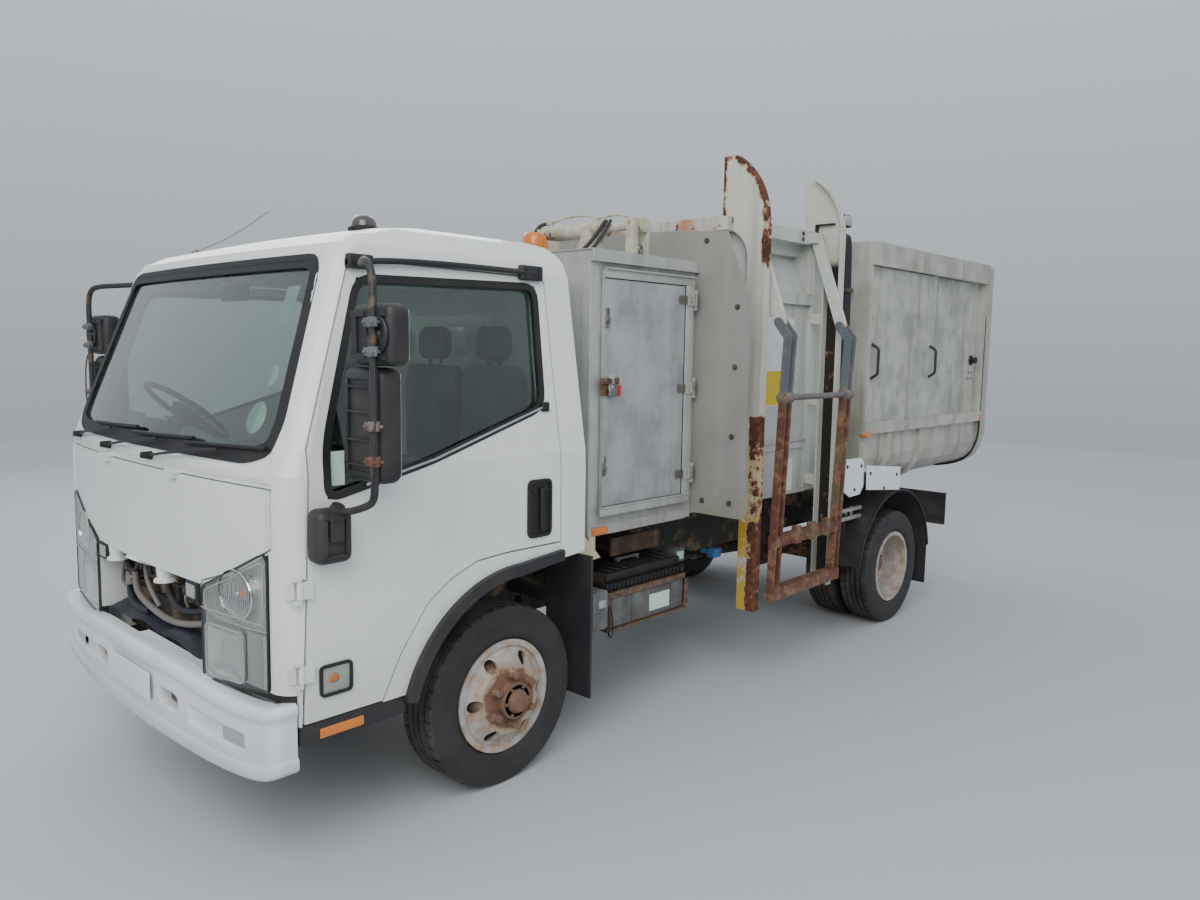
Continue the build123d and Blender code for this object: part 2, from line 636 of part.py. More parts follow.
# Doors: the side skin down to the arch, with its window cut, hinge barrels on its front edge
for side, name in ((1, "left"), (-1, "right")):
    skin = sorted((side * 400, side * 1200))
    with BuildPart() as cab_door:
        cab_body(0, cab_floor)
        cab_body(door_thickness, cab_floor - 1, mode=Mode.SUBTRACT)
        side_plate(door_outline, skin, grow=-door_gap, mode=Mode.INTERSECT)
        side_plate(window_outline, skin, mode=Mode.SUBTRACT)
        for low, high in hinge_levels:
            bar_z(side * hinge_x, hinge_y, (low, high), hinge_barrel)
            block(sorted((side * (cab_half + 2), side * (hinge_x + 9))), (hinge_y, hinge_y + 40), (low, high))
            block(sorted((side * 1008, side * (cab_half + 3))), (hinge_y + 13, hinge_y + 40), (low, high))
            bar_z(side * hinge_x, hinge_y, (low, high), hinge_pin + running_gap, mode=Mode.SUBTRACT)
    write(cab_door.part, f"cab_door_{name}")
    with BuildPart() as door_glass:
        cab_body(20, cab_floor)
        cab_body(20 + glass_thickness, cab_floor - 1, mode=Mode.SUBTRACT)
        side_plate(window_outline, skin, mode=Mode.INTERSECT)
    write(door_glass.part, f"cab_door_glass_{name}")
    with BuildPart() as mirrors:
        block(sorted((side * cab_half, side * 1105)), (-925, -795), (1105, 1285))
        hose(((side * 1080, -850, 1270), (side * 1200, -815, 1300), (side * 1250, -812, 1380),
              (side * 1250, -812, 1990), (side * 1190, -800, 2075), (side * 925, -650, 2085)), 12)
        block(sorted((side * 1045, side * 1262)), (-800, -705), (1372, 1740))
        block(sorted((side * 1100, side * 1318)), (-800, -705), (1746, 1938))
        for z in (1450, 1650, 1790, 1890):
            block(sorted((side * 1225, side * 1258)), (-815, -790), (z - 15, z + 15))
    write(mirrors.part, f"mirrors_{name}")

# Sills with their steps, black arch trims and the rear lower corners behind the doors
with BuildPart() as cab_trim:
    for side in (-1, 1):
        block(sorted((side * 780, side * 1012)), (-952, -545), (490, cab_floor))
        block(sorted((side * 560, side * 780)), (-945, -600), (505, cab_floor))
        with BuildSketch(Plane.YZ.offset(side * cab_half - (24 if side < 0 else 0))) as trim:
            with BuildLine():
                inner = arch_radius - 2
                outer = arch_radius + 46
                low = radians(16)
                mid = radians(52)
                Line((along(0), axle_height + inner), (along(0), axle_height + outer))
                ThreePointArc((along(0), axle_height + outer),
                              (along(-outer * cos(mid)), axle_height + outer * sin(mid)),
                              (along(-outer * cos(low)), axle_height + outer * sin(low)))
                Line((along(-outer * cos(low)), axle_height + outer * sin(low)),
                     (along(-inner * cos(low)), axle_height + inner * sin(low)))
                ThreePointArc((along(-inner * cos(low)), axle_height + inner * sin(low)),
                              (along(-inner * cos(mid)), axle_height + inner * sin(mid)),
                              (along(0), axle_height + inner))
            make_face()
        extrude(trim.sketch, amount=24)
        side_plate(((-2, axle_height + arch_radius - 2), (-2, axle_height + arch_radius + 46), (235, 975),
                    (235, 929), (200, 928)), sorted((side * cab_half, side * (cab_half + 24))))
write(cab_trim.part, "cab_trim")

# Mudguards: boxes and flaps behind the front wheels, curved wings over the rear ones on their stays
wing_radius = 528
with BuildPart() as mudguards:
    for side in (-1, 1):
        block(sorted((side * 700, side * 985)), (456, 468), (250, 900))
        block(sorted((side * 730, side * 985)), (468, 560), (560, 720))
        block(sorted((side * rail_outer, side * 705)), (456, 490), (640, 700))
        with BuildSketch(Plane.YZ.offset(side * 700 if side > 0 else -1072)) as wing:
            with BuildLine():
                far = radians(8)
                for radius, flip in ((wing_radius, 1), (wing_radius - 8, -1)):
                    ends = [(along(wheelbase - radius * cos(far)), axle_height + radius * sin(far)),
                            (along(wheelbase), axle_height + radius),
                            (along(wheelbase + radius * cos(far)), axle_height + radius * sin(far))]
                    ThreePointArc(*ends[::flip])
                far_y = wheelbase + wing_radius * cos(far)
                low_z = axle_height + wing_radius * sin(far)
                Line((along(far_y), low_z), (along(far_y - 8 * cos(far)), low_z - 8 * sin(far)))
                near_y = wheelbase - wing_radius * cos(far)
                Line((along(near_y), low_z), (along(near_y + 8 * cos(far)), low_z - 8 * sin(far)))
            make_face()
        extrude(wing.sketch, amount=372)
        block(sorted((side * 760, side * 1060)), (3884, 3890), (170, 460))
        block(sorted((side * rail_outer, side * 950)), (2848, 2856), (700, 790))
        block(sorted((side * 700, side * 950)), (2856, 2862), (440, 790))
        block(sorted((side * rail_outer, side * 710)), (3855, 3895), (650, 700))
write(mudguards.part, "mudguards")

# Board across the tail for the lamps and the plate, on two rail ends, with the lamps on its rear face
with BuildPart() as tail_board:
    for side in (-1, 1):
        block(sorted((side * 520, side * 1000)), (4340, 4352), (525, 768))
        block(sorted((side * rail_outer, side * 560)), (4300, 4340), (620, 700))
        block(sorted((side * 690, side * 980)), (4352, 4380), (640, 740))
    block((-620, 620), (4250, 4300), (420, 500))
    for side in (-1, 1):
        block(sorted((side * 330, side * 400)), (4255, 4295), (500, rail_bottom))
write(tail_board.part, "tail_board")

# Aluminium cabinet behind the cab: a hollow box with a door opening on the nearside
pod_door_y = (618, 1268)
pod_door_z = (1072, 2160)
pod_hinge_x = 900
pod_hinge_y = 1276
pod_hinge_levels = (1193, 1623, 2058)
with BuildPart() as pod_shell:
    block((-pod_half, pod_half), (pod_front, pod_rear), (pod_floor, pod_top))
    block((-pod_half + panel, pod_half - panel), (pod_front + panel, pod_rear - panel),
          (pod_floor + panel, pod_top - panel), mode=Mode.SUBTRACT)
    block((pod_half - 40, pod_half + 1), (pod_door_y[0] + 25, pod_door_y[1] - 25),
          (pod_door_z[0] + 25, pod_door_z[1] - 25), mode=Mode.SUBTRACT)
    for side in (-1, 1):
        block(sorted((side * 360, side * rail_outer)), (pod_front + 20, pod_rear - 20), (rail_top, pod_floor))
    block((pod_half, pod_half + 14), (pod_front, pod_rear), (pod_top - 45, pod_top))
    for z in pod_hinge_levels:
        bar_z(pod_hinge_x, pod_hinge_y, (z - 50, z + 50), 6)
        for end in (z - 50, z + 30):
            block((pod_half, pod_hinge_x + 8), (pod_hinge_y - 8, pod_hinge_y + 8), (end, end + 20))
write(pod_shell.part, "pod_shell")

with BuildPart() as pod_door:
    block((pod_half + move_gap, pod_half + 25), pod_door_y, pod_door_z)
    for z in pod_hinge_levels:
        bar_z(pod_hinge_x, pod_hinge_y, (z - 28, z + 28), 10)
        block((pod_half + 12, pod_hinge_x + 6), (pod_door_y[1] - 60, pod_hinge_y), (z - 28, z + 28))
        bar_z(pod_hinge_x, pod_hinge_y, (z - 28, z + 28), 6 + running_gap, mode=Mode.SUBTRACT)
    block((pod_half + 25, pod_half + 45), (640, 672), (1600, 1700))
write(pod_door.part, "pod_door")

# Hydraulic cylinder lying across the cabinet's roof on two stands, with its valve block and beacon stand
with BuildPart() as roof_cylinder:
    bar_x((150, 620), 900, 2390, 38)
    bar_x((620, 820), 900, 2390, 20)
    bar_y(835, (870, 930), 2390, 34)
    for x in (200, 560):
        block((x - 10, x + 10), (850, 950), (pod_top, 2390))
    block((805, 865), (850, 868), (pod_top, 2420))
    block((805, 865), (932, 950), (pod_top, 2420))
    block((250, 430), (700, 790), (pod_top, 2330))
    bar_z(420, 625, (pod_top, 2275), 50)
    bar_z(420, 625, (2275, 2345), 44)
write(roof_cylinder.part, "roof_cylinder")

# Transverse front wall of the body: a plate whose nearside wing shields the bin lift
with BuildPart() as front_wall:
    cross_plate(((-900, 982), (wing_half, 982), (wing_half, 2098), (1056, 2393), (800, 2410), (0, 2450),
                 (-800, 2410), (-900, 2300)), (pod_rear, pod_rear + wing_plate))
    block((wing_half - 6, wing_half), (pod_rear, pod_rear + 40), (982, 2098))
    for side in (-1, 1):
        block(sorted((side * 360, side * rail_outer)), (pod_rear, pod_rear + 12), (rail_top, 990))
write(front_wall.part, "front_wall")

# Hopper: walls round an open top, its nearside wall leaning in above the sill, the header over the lift
hopper_rear = box_front
mouth = ((-620, 740), (1700, 2420))
header_face = 885
throat = ((-780, 780), (1000, 2300))
with BuildPart() as hopper_shell:
    cross_plate(((-hopper_half, hopper_floor), (hopper_half, hopper_floor), (hopper_half, 2150), (750, 2370),
                 (750, hopper_top), (-hopper_half, hopper_top)), (hopper_front, hopper_rear))
    cross_plate(((panel - hopper_half, hopper_floor + panel), (hopper_half - panel, hopper_floor + panel),
                 (hopper_half - panel, 2145), (750 - panel, 2365), (750 - panel, hopper_top - panel),
                 (panel - hopper_half, hopper_top - panel)), (hopper_front + panel, hopper_rear - panel),
                mode=Mode.SUBTRACT)
    block(mouth[0], mouth[1], (hopper_top - panel - 1, hopper_top + 1), mode=Mode.SUBTRACT)
    block(throat[0], (hopper_rear - panel - 1, hopper_rear + 1), throat[1], mode=Mode.SUBTRACT)
    block((hopper_half, hopper_half + 22), (1660, 2460), (2092, 2150))
    block((hopper_half, hopper_half + 12), (1660, 2460), (1240, 1290))
    block((-hopper_half, 1036), (hopper_front, hopper_front + 60), (2402, 2468))
    for side in (-1, 1):
        block(sorted((side * 365, side * 440)), (runner_front, box_front), (runner_top + seat_gap, 900))
        for y in (1500, 2100, 2700):
            block(sorted((side * 365, side * 440)), (y - 40, y + 40), (899, hopper_floor))
write(hopper_shell.part, "hopper_shell")

# Header beam over the lift, with the arms' lugs and pins on its face and a hoop handle on top
arm_pivot = (925, 2470)
arm_end = (1105, 1965)
arm_y = (1750, 2400)
arm_pin = 12
arm_thickness = 24
with BuildPart() as header_beam:
    block((790, header_face), (1650, 2470), (2442, 2512))
    block((750, 800), (1650, 2470), (2372, 2442))
    for y in arm_y:
        for end in (y - 34, y + 20):
            block((header_face - 5, 950), (end, end + 14), (2442, 2498))
        bar_y(arm_pivot[0], (y - 34, y + 34), arm_pivot[1], arm_pin)
    hose(((820, 1800, 2512), (820, 1800, 2580), (820, 1990, 2580), (820, 1990, 2512)), 7)
write(header_beam.part, "header_beam")

# Lift rails: channels open towards each other, running up into the horn plates
rail_plate = 8
horn_inner = 795
with BuildPart() as lift_rails:
    for y, facing in ((rail_y[0], 1), (rail_y[1], -1)):
        web = sorted((y, y + facing * rail_plate))
        with BuildSketch(Plane.XZ.offset(-along(web[0]))) as horn:
            with BuildLine():
                Line((rail_x[0], rail_foot), (rail_x[1], rail_foot))
                Line((rail_x[1], rail_foot), (rail_x[1], 2500))
                ThreePointArc((rail_x[1], 2500), (1012, 2680), (872, horn_top))
                Line((872, horn_top), (horn_inner, horn_top))
                Line((horn_inner, horn_top), (horn_inner, 2456))
                ThreePointArc((horn_inner, 2456), (908, 2408), (rail_x[0], 2290))
                Line((rail_x[0], 2290), (rail_x[0], rail_foot))
            make_face()
        extrude(horn.sketch, amount=-rail_plate)
        flange = sorted((y, y + facing * 55))
        block((rail_x[1] - rail_plate, rail_x[1]), flange, (rail_foot, 2495))
        block((rail_x[0], rail_x[0] + rail_plate), flange, (rail_foot, 2290))
        edge = sorted((y, y + facing * 45))
        with BuildSketch(Plane.XZ.offset(-along(edge[0]))) as rim_strip:
            with BuildLine():
                Line((rail_x[1], 2492), (rail_x[1], 2500))
                ThreePointArc((rail_x[1], 2500), (1012, 2680), (872, horn_top))
                Line((872, horn_top), (866, horn_top - 8))
                ThreePointArc((866, horn_top - 8), (1005, 2676), (rail_x[1] - 8, 2492))
                Line((rail_x[1] - 8, 2492), (rail_x[1], 2492))
            make_face()
        extrude(rim_strip.sketch, amount=-45)
        for z in (1020, 1500, 1980):
            block((hopper_half, rail_x[0]), sorted((y, y + facing * 40)), (z, z + 60))
write(lift_rails.part, "lift_rails")

# Container: floor with sloped flanks, roof, side bands, posts and the rails its sliding doors run on
band_bottom = 2358
sill_top = 1372
side_wall = (944, 970)
door_sheet = 18
door_y = ((2935, 3925), (3905, 4600))
gate_pivot_y = 4868
gate_pivot_z = 2532
gate_pin = 12
with BuildPart() as container:
    profile = ((-1000, 1140), (-975, 1055), (-930, 1005), (-860, 972), (-760, 950), (-660, box_floor),
               (660, box_floor), (760, 950), (860, 972), (930, 1005), (975, 1055), (1000, 1140),
               (1000, 1300), (1042, 1300),
               (1042, sill_top), (side_wall[1], sill_top), (side_wall[1], band_bottom), (1042, band_bottom),
               (1042, box_top), (-1042, box_top), (-1042, band_bottom), (-side_wall[1], band_bottom),
               (-side_wall[1], sill_top), (-1042, sill_top), (-1042, 1300), (-1000, 1300))
    cross_plate(profile, (box_front, box_rear))
    cross_plate(((-side_wall[0], 1140), (-890, 1045), (-760, 990), (-640, box_floor + box_wall),
                 (640, box_floor + box_wall), (760, 990), (890, 1045),
                 (side_wall[0], 1140), (side_wall[0], box_top - box_wall), (-side_wall[0], box_top - box_wall)),
                (box_front + box_wall, box_rear + 1), mode=Mode.SUBTRACT)
    block(throat[0], (box_front - 1, box_front + box_wall + 1), throat[1], mode=Mode.SUBTRACT)
    for side in (-1, 1):
        block(sorted((side * 920, side * 980)), (2965, 4580), (1410, 2330), mode=Mode.SUBTRACT)
        block(sorted((side * side_wall[1], side * 1030)), (box_front, door_y[0][0] - move_gap),
              (sill_top, band_bottom))
        block(sorted((side * side_wall[1], side * 984)), (door_y[1][1] + 10, 4813), (sill_top, band_bottom))
        block(sorted((side * side_wall[1], side * 1030)), (4812, box_rear), (sill_top, band_bottom))
        rib = ((700, 915), (760, 955), (860, 980), (930, 1010), (975, 1060), (990, 1140), (990, 1302), (1034, 1302),
               (1034, 1130), (1000, 1040), (945, 975), (870, 935), (780, 915))
        for y in (3260, 3760):
            cross_plate(mirrored(rib, side), (y - 6, y + 6))
        block(sorted((side * 365, side * 440)), (box_front, rail_rear - 20), (runner_top + seat_gap, box_floor))
        ear = sorted((side * 367, side * 400))
        block(ear, (tip_pivot_y - 35, tip_pivot_y + 35), (tip_pivot_z, box_floor + 5))
        bar_x(ear, tip_pivot_y, tip_pivot_z, 35)
        bar_x(ear, tip_pivot_y, tip_pivot_z, tip_pin + running_gap, mode=Mode.SUBTRACT)
        for low, high in ((585, 600), (640, 655)):
            ears = sorted((side * low, side * high))
            block(ears, (4800, gate_pivot_y + 20), (box_top, gate_pivot_z + 20))
        bar_x(sorted((side * 585, side * 655)), gate_pivot_y, gate_pivot_z, gate_pin)
write(container.part, "container")

# Sliding side doors: the front one in the outer track, with two bow handles, the rear one in the inner
track_planes = (
    # inner face, handles
    (side_wall[1] + move_gap + door_sheet + move_gap, 2),
    (side_wall[1] + move_gap, 0),
)
for side, hand in ((1, "left"), (-1, "right")):
    for (low, high), (plane, handles), place in zip(door_y, track_planes, ("front", "rear")):
        with BuildPart() as side_door:
            block(sorted((side * plane, side * (plane + door_sheet))), (low, high),
                  (sill_top + seat_gap, band_bottom - move_gap))
            face = side * (plane + door_sheet - 2)
            stand = side * (plane + door_sheet + 48)
            for y in (low + 40, high - 70)[:handles]:
                hose(((face, y, 1870), (stand, y, 1840), (stand, y, 1680), (face, y, 1650)), 9)
        write(side_door.part, f"side_door_{place}_{hand}")

# Tailgate: a ribbed pan hung from two barrels on the roof's rear edge
gate_front = box_rear + move_gap
gate_outline = ((-1012, 1110), (-968, 1020), (-880, 955), (-770, 925), (-650, box_floor + 6), (650, box_floor + 6),
                (770, 925), (880, 955), (968, 1020), (1012, 1110), (1030, 1200), (1030, box_top - 12),
                (-1030, box_top - 12), (-1030, 1200))
with BuildPart() as tailgate:
    cross_plate(gate_outline, (gate_front, tail_end - 15))
    cross_plate(gate_outline, (gate_front - 1, tail_end - 45), grow=-40, mode=Mode.SUBTRACT)
    for z in (1180, 1560, 1940, 2320):
        block((-960, 960), (tail_end - 16, tail_end), (z, z + 60))
    for side in (-1, 1):
        knuckle_x = sorted((side * 604, side * 636))
        bar_x(knuckle_x, gate_pivot_y, gate_pivot_z, 22)
        block(knuckle_x, (gate_pivot_y + 2, gate_pivot_y + 70), (box_top - 24, gate_pivot_z + 16))
        bar_x(knuckle_x, gate_pivot_y, gate_pivot_z, gate_pin + running_gap, mode=Mode.SUBTRACT)
write(tailgate.part, "tailgate")

# White plates low on the nearside, on brackets from the hopper and the container's flank
with BuildPart() as side_plates:
    side_plate(((2543, 1172), (2770, 1168), (2812, 1135), (2815, 985), (2772, 940), (2640, 936), (2565, 975),
                (2548, 1010)), (1078, 1083))
    block((hopper_half, 1078), (2660, 2700), (1040, 1070))
    side_plate(((2859, 1112), (3341, 1064), (3338, 910), (2865, 957)), (1078, 1083))
    block((979.1, 1078), (2950, 3150), (1056, 1068))
write(side_plates.part, "side_plates")

# Hydraulic hoses standing in the gap between hopper and container, clipped to the hopper
hose_count = 3
hose_radius = 11
with BuildPart() as hoses:
    for n in range(hose_count):
        y = 2770 + n * (2 * hose_radius + 3)
        hose(((930, y, 1000), (930, y, 2490), (890, y, 2545), (735, y, 2545), (735, y, hopper_top + seat_gap)),
             hose_radius)
    for z in (1300, 2180):
        block((hopper_half, 944), (2755, 2840), (z, z + 30))
write(hoses.part, "hoses")

# Lift arms on the header's pins, hanging outwards, kept in step by the frame at their ends
arm_width = 62
swing = (arm_end[0] - arm_pivot[0], arm_end[1] - arm_pivot[1])


def link(start, finish, y, width, mode=Mode.ADD):
    """Flat bar with round ends from one (x, z) pin to another, between two places along the truck."""
    run = Vector(finish[0] - start[0], 0, finish[1] - start[1])
    middle = ((start[0] + finish[0]) / 2, along(y[0]), (start[1] + finish[1]) / 2)
    with BuildSketch(Plane(middle, x_dir=run, z_dir=(0, -1, 0))) as bar:
        SlotCenterToCenter(run.length, width)
    extrude(bar.sketch, amount=y[0] - y[1], mode=mode)


with BuildPart() as lift_arms:
    for y in arm_y:
        span = (y - arm_thickness / 2, y + arm_thickness / 2)
        link(arm_pivot, arm_end, span, arm_width)
        for x, z in (arm_pivot, arm_end):
            bar_y(x, (span[0] - 1, span[1] + 1), z, arm_pin + running_gap, mode=Mode.SUBTRACT)
write(lift_arms.part, "lift_arms")

# Lift frame hung from the arms' ends: paired uprights with a knee, a cross tube, two beams and comb lugs
knee = (1165, 1890)
boss = (1150, 1572)
foot = (1112, 490)
upright = 12
comb_y = (1900, 2060, 2220)
with BuildPart() as lift_frame:
    for y in arm_y:
        for offset_y in (-32, 20):
            span = (y + offset_y, y + offset_y + upright)
            link(arm_end, knee, span, 48)
            link(knee, boss, span, 44)
            link(boss, foot, span, 44)
        bar_y(arm_end[0], (y - 32, y + 32), arm_end[1], arm_pin)
        bar_y(boss[0], (y - 38, y + 38), boss[1], 34)
    bar_y(boss[0] + 5, (arm_y[0], arm_y[1]), boss[1], 16)
    block((1094, 1142), (arm_y[0] - 32, arm_y[1] + 32), (770, 830))
    block((1085, 1145), (arm_y[0] - 32, arm_y[1] + 32), (480, 545))
    for y in comb_y:
        block((1142, 1175), (y - 25, y + 25), (775, 870))
write(lift_frame.part, "lift_frame")
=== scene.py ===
import bpy
from math import atan2, cos, hypot, pi, radians, sin
from mathutils import Matrix, Vector


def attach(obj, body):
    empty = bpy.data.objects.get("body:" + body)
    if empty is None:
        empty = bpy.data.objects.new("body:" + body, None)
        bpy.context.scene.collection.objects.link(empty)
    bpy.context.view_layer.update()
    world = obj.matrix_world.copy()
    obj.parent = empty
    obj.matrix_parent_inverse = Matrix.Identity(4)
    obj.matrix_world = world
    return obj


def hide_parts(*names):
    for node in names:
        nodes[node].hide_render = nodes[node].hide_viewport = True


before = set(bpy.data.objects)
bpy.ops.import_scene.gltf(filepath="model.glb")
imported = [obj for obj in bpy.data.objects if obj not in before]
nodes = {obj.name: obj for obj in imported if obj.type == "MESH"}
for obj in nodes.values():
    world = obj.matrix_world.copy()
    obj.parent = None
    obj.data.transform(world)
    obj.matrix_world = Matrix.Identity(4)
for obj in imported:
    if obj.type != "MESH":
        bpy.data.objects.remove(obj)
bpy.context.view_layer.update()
axleY = -1.936                       # the front axle in the row frame; places along the truck are given from it
rearAxle = 3.365                     # the rear axle's place along the truck
wheelHeight = 0.378                  # the wheels' middle over the ground
sides = ((1, "Left"), (-1, "Right"))
doors = {1: "door_left", -1: "door_right"}
bpy.ops.object.select_all(action='DESELECT')
print("frame loaded:", len(nodes), "nodes")


# ---- camera, floor and light

camera = {"place": (3.6376, -2.3558, 1.8066), "yaw": 42.875, "pitch": 6.392, "roll": 0.893, "lens": 26.84}
stage = {"floor": 30.0, "floorTone": (0.52, 0.53, 0.54, 1), "key": (5.5, -7.5, 7.0), "keyPower": 700,
         "keySize": 7.0, "fill": (-7.0, 2.0, 6.0), "fillPower": 260, "fillSize": 6.0,
         "sky": (0.80, 0.86, 0.94, 1), "horizon": (0.42, 0.45, 0.48, 1), "skyPower": 0.95}


def setCamera(look):
    yaw, pitch, roll = radians(look["yaw"]), radians(look["pitch"]), radians(look["roll"])
    ahead = Vector((-sin(yaw) * cos(pitch), cos(yaw) * cos(pitch), -sin(pitch)))
    right = ahead.cross(Vector((0, 0, 1))).normalized()
    up = right.cross(ahead)
    right, up = right * cos(roll) + up * sin(roll), up * cos(roll) - right * sin(roll)
    bpy.ops.object.camera_add()
    eye = bpy.context.object
    eye.matrix_world = Matrix((right, up, -ahead)).transposed().to_4x4()
    eye.location = (look["place"][0], look["place"][1] + axleY, look["place"][2])
    eye.data.sensor_width = 36
    eye.data.lens = look["lens"]
    eye.data.clip_start = 0.05
    bpy.context.scene.camera = eye


def addLamp(place, power, size):
    bpy.ops.object.light_add(type='AREA', location=place)
    lamp = bpy.context.object
    lamp.data.energy = power
    lamp.data.size = size
    lamp.rotation_euler = (Vector((0, 0, 1.0)) - Vector(place)).to_track_quat('-Z', 'Y').to_euler()


setCamera(camera)
addLamp(stage["key"], stage["keyPower"], stage["keySize"])
addLamp(stage["fill"], stage["fillPower"], stage["fillSize"])


# ---- finishes

def tone(red, green, blue):
    # screen values 0-255 to the linear colour a shader takes
    return tuple(((c / 255 + 0.055) / 1.055) ** 2.4 if c > 10 else c / 3295 for c in (red, green, blue)) + (1,)


class Wire:
    # one output of a finish's nodes; sums on it add maths nodes
    def __init__(self, finish, socket):
        self.finish, self.socket = finish, socket

    def calc(self, operation, first, second):
        return self.finish.add('ShaderNodeMath', {"operation": operation}, {0: first, 1: second})

    def __add__(self, other):
        return self.calc('ADD', self, other)

    def __radd__(self, other):
        return self.calc('ADD', other, self)

    def __sub__(self, other):
        return self.calc('SUBTRACT', self, other)

    def __rsub__(self, other):
        return self.calc('SUBTRACT', other, self)

    def __mul__(self, other):
        return self.calc('MULTIPLY', self, other)

    def __rmul__(self, other):
        return self.calc('MULTIPLY', other, self)

    def alone(self, operation):
        return self.finish.add('ShaderNodeMath', {"operation": operation}, {0: self})

    def most(self, other):
        return self.calc('MAXIMUM', self, other)

    def least(self, other):
        return self.calc('MINIMUM', self, other)

    def fade(self, low, high):
        # 0 below low and 1 above high, or the other way round when low is the larger
        return self.finish.add('ShaderNodeMapRange', {"interpolation_type": 'SMOOTHSTEP'},
                               {"Value": self, "From Min": low, "From Max": high})


class Finish:
    # a material and the nodes behind its shader
    def __init__(self, name, **fixed):
        self.material = bpy.data.materials.new(name)
        self.material.use_nodes = True
        self.tree = self.material.node_tree
        self.tree.nodes.clear()
        self.shader = self.tree.nodes.new('ShaderNodeBsdfPrincipled')
        ending = self.tree.nodes.new('ShaderNodeOutputMaterial')
        self.tree.links.new(self.shader.outputs[0], ending.inputs[0])
        for socket, value in fixed.items():
            self.shader.inputs[socket.replace("_", " ")].default_value = value
        self.place = self.add('ShaderNodeTexCoord', {}, {}, "Object")
        split = self.add('ShaderNodeSeparateXYZ', {}, {0: self.place}, "X")
        self.x, self.y, self.z = (Wire(self, split.socket.node.outputs[n]) for n in range(3))

    def add(self, kind, settings, values, output=0):
        node = self.tree.nodes.new(kind)
        for setting, value in settings.items():
            if setting == "stops":
                ramp = node.color_ramp
                while len(ramp.elements) < len(value):
                    ramp.elements.new(1.0)
                for element, (position, colour) in zip(ramp.elements, value):
                    element.position, element.color = position, colour
            else:
                setattr(node, setting, value)
        for socket, value in values.items():
            if isinstance(value, Wire):
                self.tree.links.new(value.socket, node.inputs[socket])
            else:
                node.inputs[socket].default_value = value
        return Wire(self, node.outputs[output])

    def noise(self, scale, detail=4.0, rough=0.55, stretch=None):
        place = self.place
        if stretch:
            place = self.add('ShaderNodeVectorMath', {"operation": 'MULTIPLY'}, {0: place, 1: stretch})
        return self.add('ShaderNodeTexNoise', {}, {"Vector": place, "Scale": scale, "Detail": detail,
                                                   "Roughness": rough})

    def mix(self, mask, first, second):
        return self.add('ShaderNodeMix', {"data_type": 'RGBA'}, {0: mask, 6: first, 7: second}, 2)

    def feed(self, **wires):
        for socket, wire in wires.items():
            self.tree.links.new(wire.socket, self.shader.inputs[socket.replace("_", " ")])
        return self.material

    def bump(self, height, distance, strength=1.0):
        return self.add('ShaderNodeBump', {}, {"Height": height, "Distance": distance, "Strength": strength})


rustTones = {"dark": tone(50, 30, 25), "mid": tone(96, 58, 42), "bright": tone(152, 92, 54),
             "stain": tone(184, 146, 108)}
mud = (92, 84, 72)
# what a weathered finish has where its own look says nothing: colours as screen values, heights in metres
usualLook = {"coat": 0.0, "metal": 0.0, "rough": 0.4, "mottle": 0.5, "mottleScale": 2.4, "runs": 0.3,
             "runScale": 11, "runTone": (128, 134, 98), "dirt": 0.6, "dirtTop": 1.1, "dirtLow": 0.3,
             "dirtTone": mud, "specks": 0.25, "over": (), "rustScale": 8, "rustFrom": 0.78, "halo": 0.55,
             "extra": None}


def rustColour(finish):
    patch = finish.noise(23, 6, 0.65)
    return finish.add('ShaderNodeValToRGB', {"stops": [(0.3, rustTones["dark"]), (0.52, rustTones["mid"]),
                                                       (0.75, rustTones["bright"])]}, {0: patch})


def weathered(name, ownLook):
    # paint or bare sheet with mottling, rain runs, dirt from the road and rust that breaks through it
    look = {**usualLook, **ownLook}
    base, second, runTone, dirtTone = (tone(*look[k]) for k in ("base", "second", "runTone", "dirtTone"))
    finish = Finish(name, Coat_Weight=look["coat"], Coat_Roughness=0.12, Metallic=look["metal"])
    grain = finish.noise(look["mottleScale"], 7, 0.6)
    colour = finish.mix(grain.fade(0.36, 0.66) * look["mottle"], base, second)
    runs = finish.noise(look["runScale"], 5, 0.6, (1, 1, 0.055)).fade(0.5, 0.74)
    colour = finish.mix(runs * look["runs"], colour, runTone)
    splash = (finish.z.fade(look["dirtTop"], look["dirtLow"]) * (finish.noise(6, 6, 0.65) + 0.25)).least(1.0)
    colour = finish.mix(splash * look["dirt"], colour, dirtTone)
    specks = finish.noise(75, 3, 0.6).fade(0.66, 0.72)
    colour = finish.mix(specks * look["specks"], colour, tone(*mud))
    for mask, paint in look["over"]:
        colour = finish.mix(mask(finish), colour, tone(*paint))
    bite = finish.noise(look["rustScale"], 9, 0.66)
    if look["extra"]:
        bite = bite + look["extra"](finish)
    start = look["rustFrom"]
    rust = bite.fade(start, start + 0.035)
    halo = bite.fade(start - 0.13, start)
    colour = finish.mix(halo * look["halo"], colour, rustTones["stain"])
    colour = finish.mix(rust, colour, rustColour(finish))
    dull = look["rough"] + grain * 0.18 + splash * 0.25 + rust * 0.45
    height = rust * (finish.noise(140, 4, 0.7) * 0.6 - 0.5) + grain * 0.12
    return finish.feed(Base_Color=colour, Roughness=dull.least(1.0), Normal=finish.bump(height, 0.0015, 0.7))


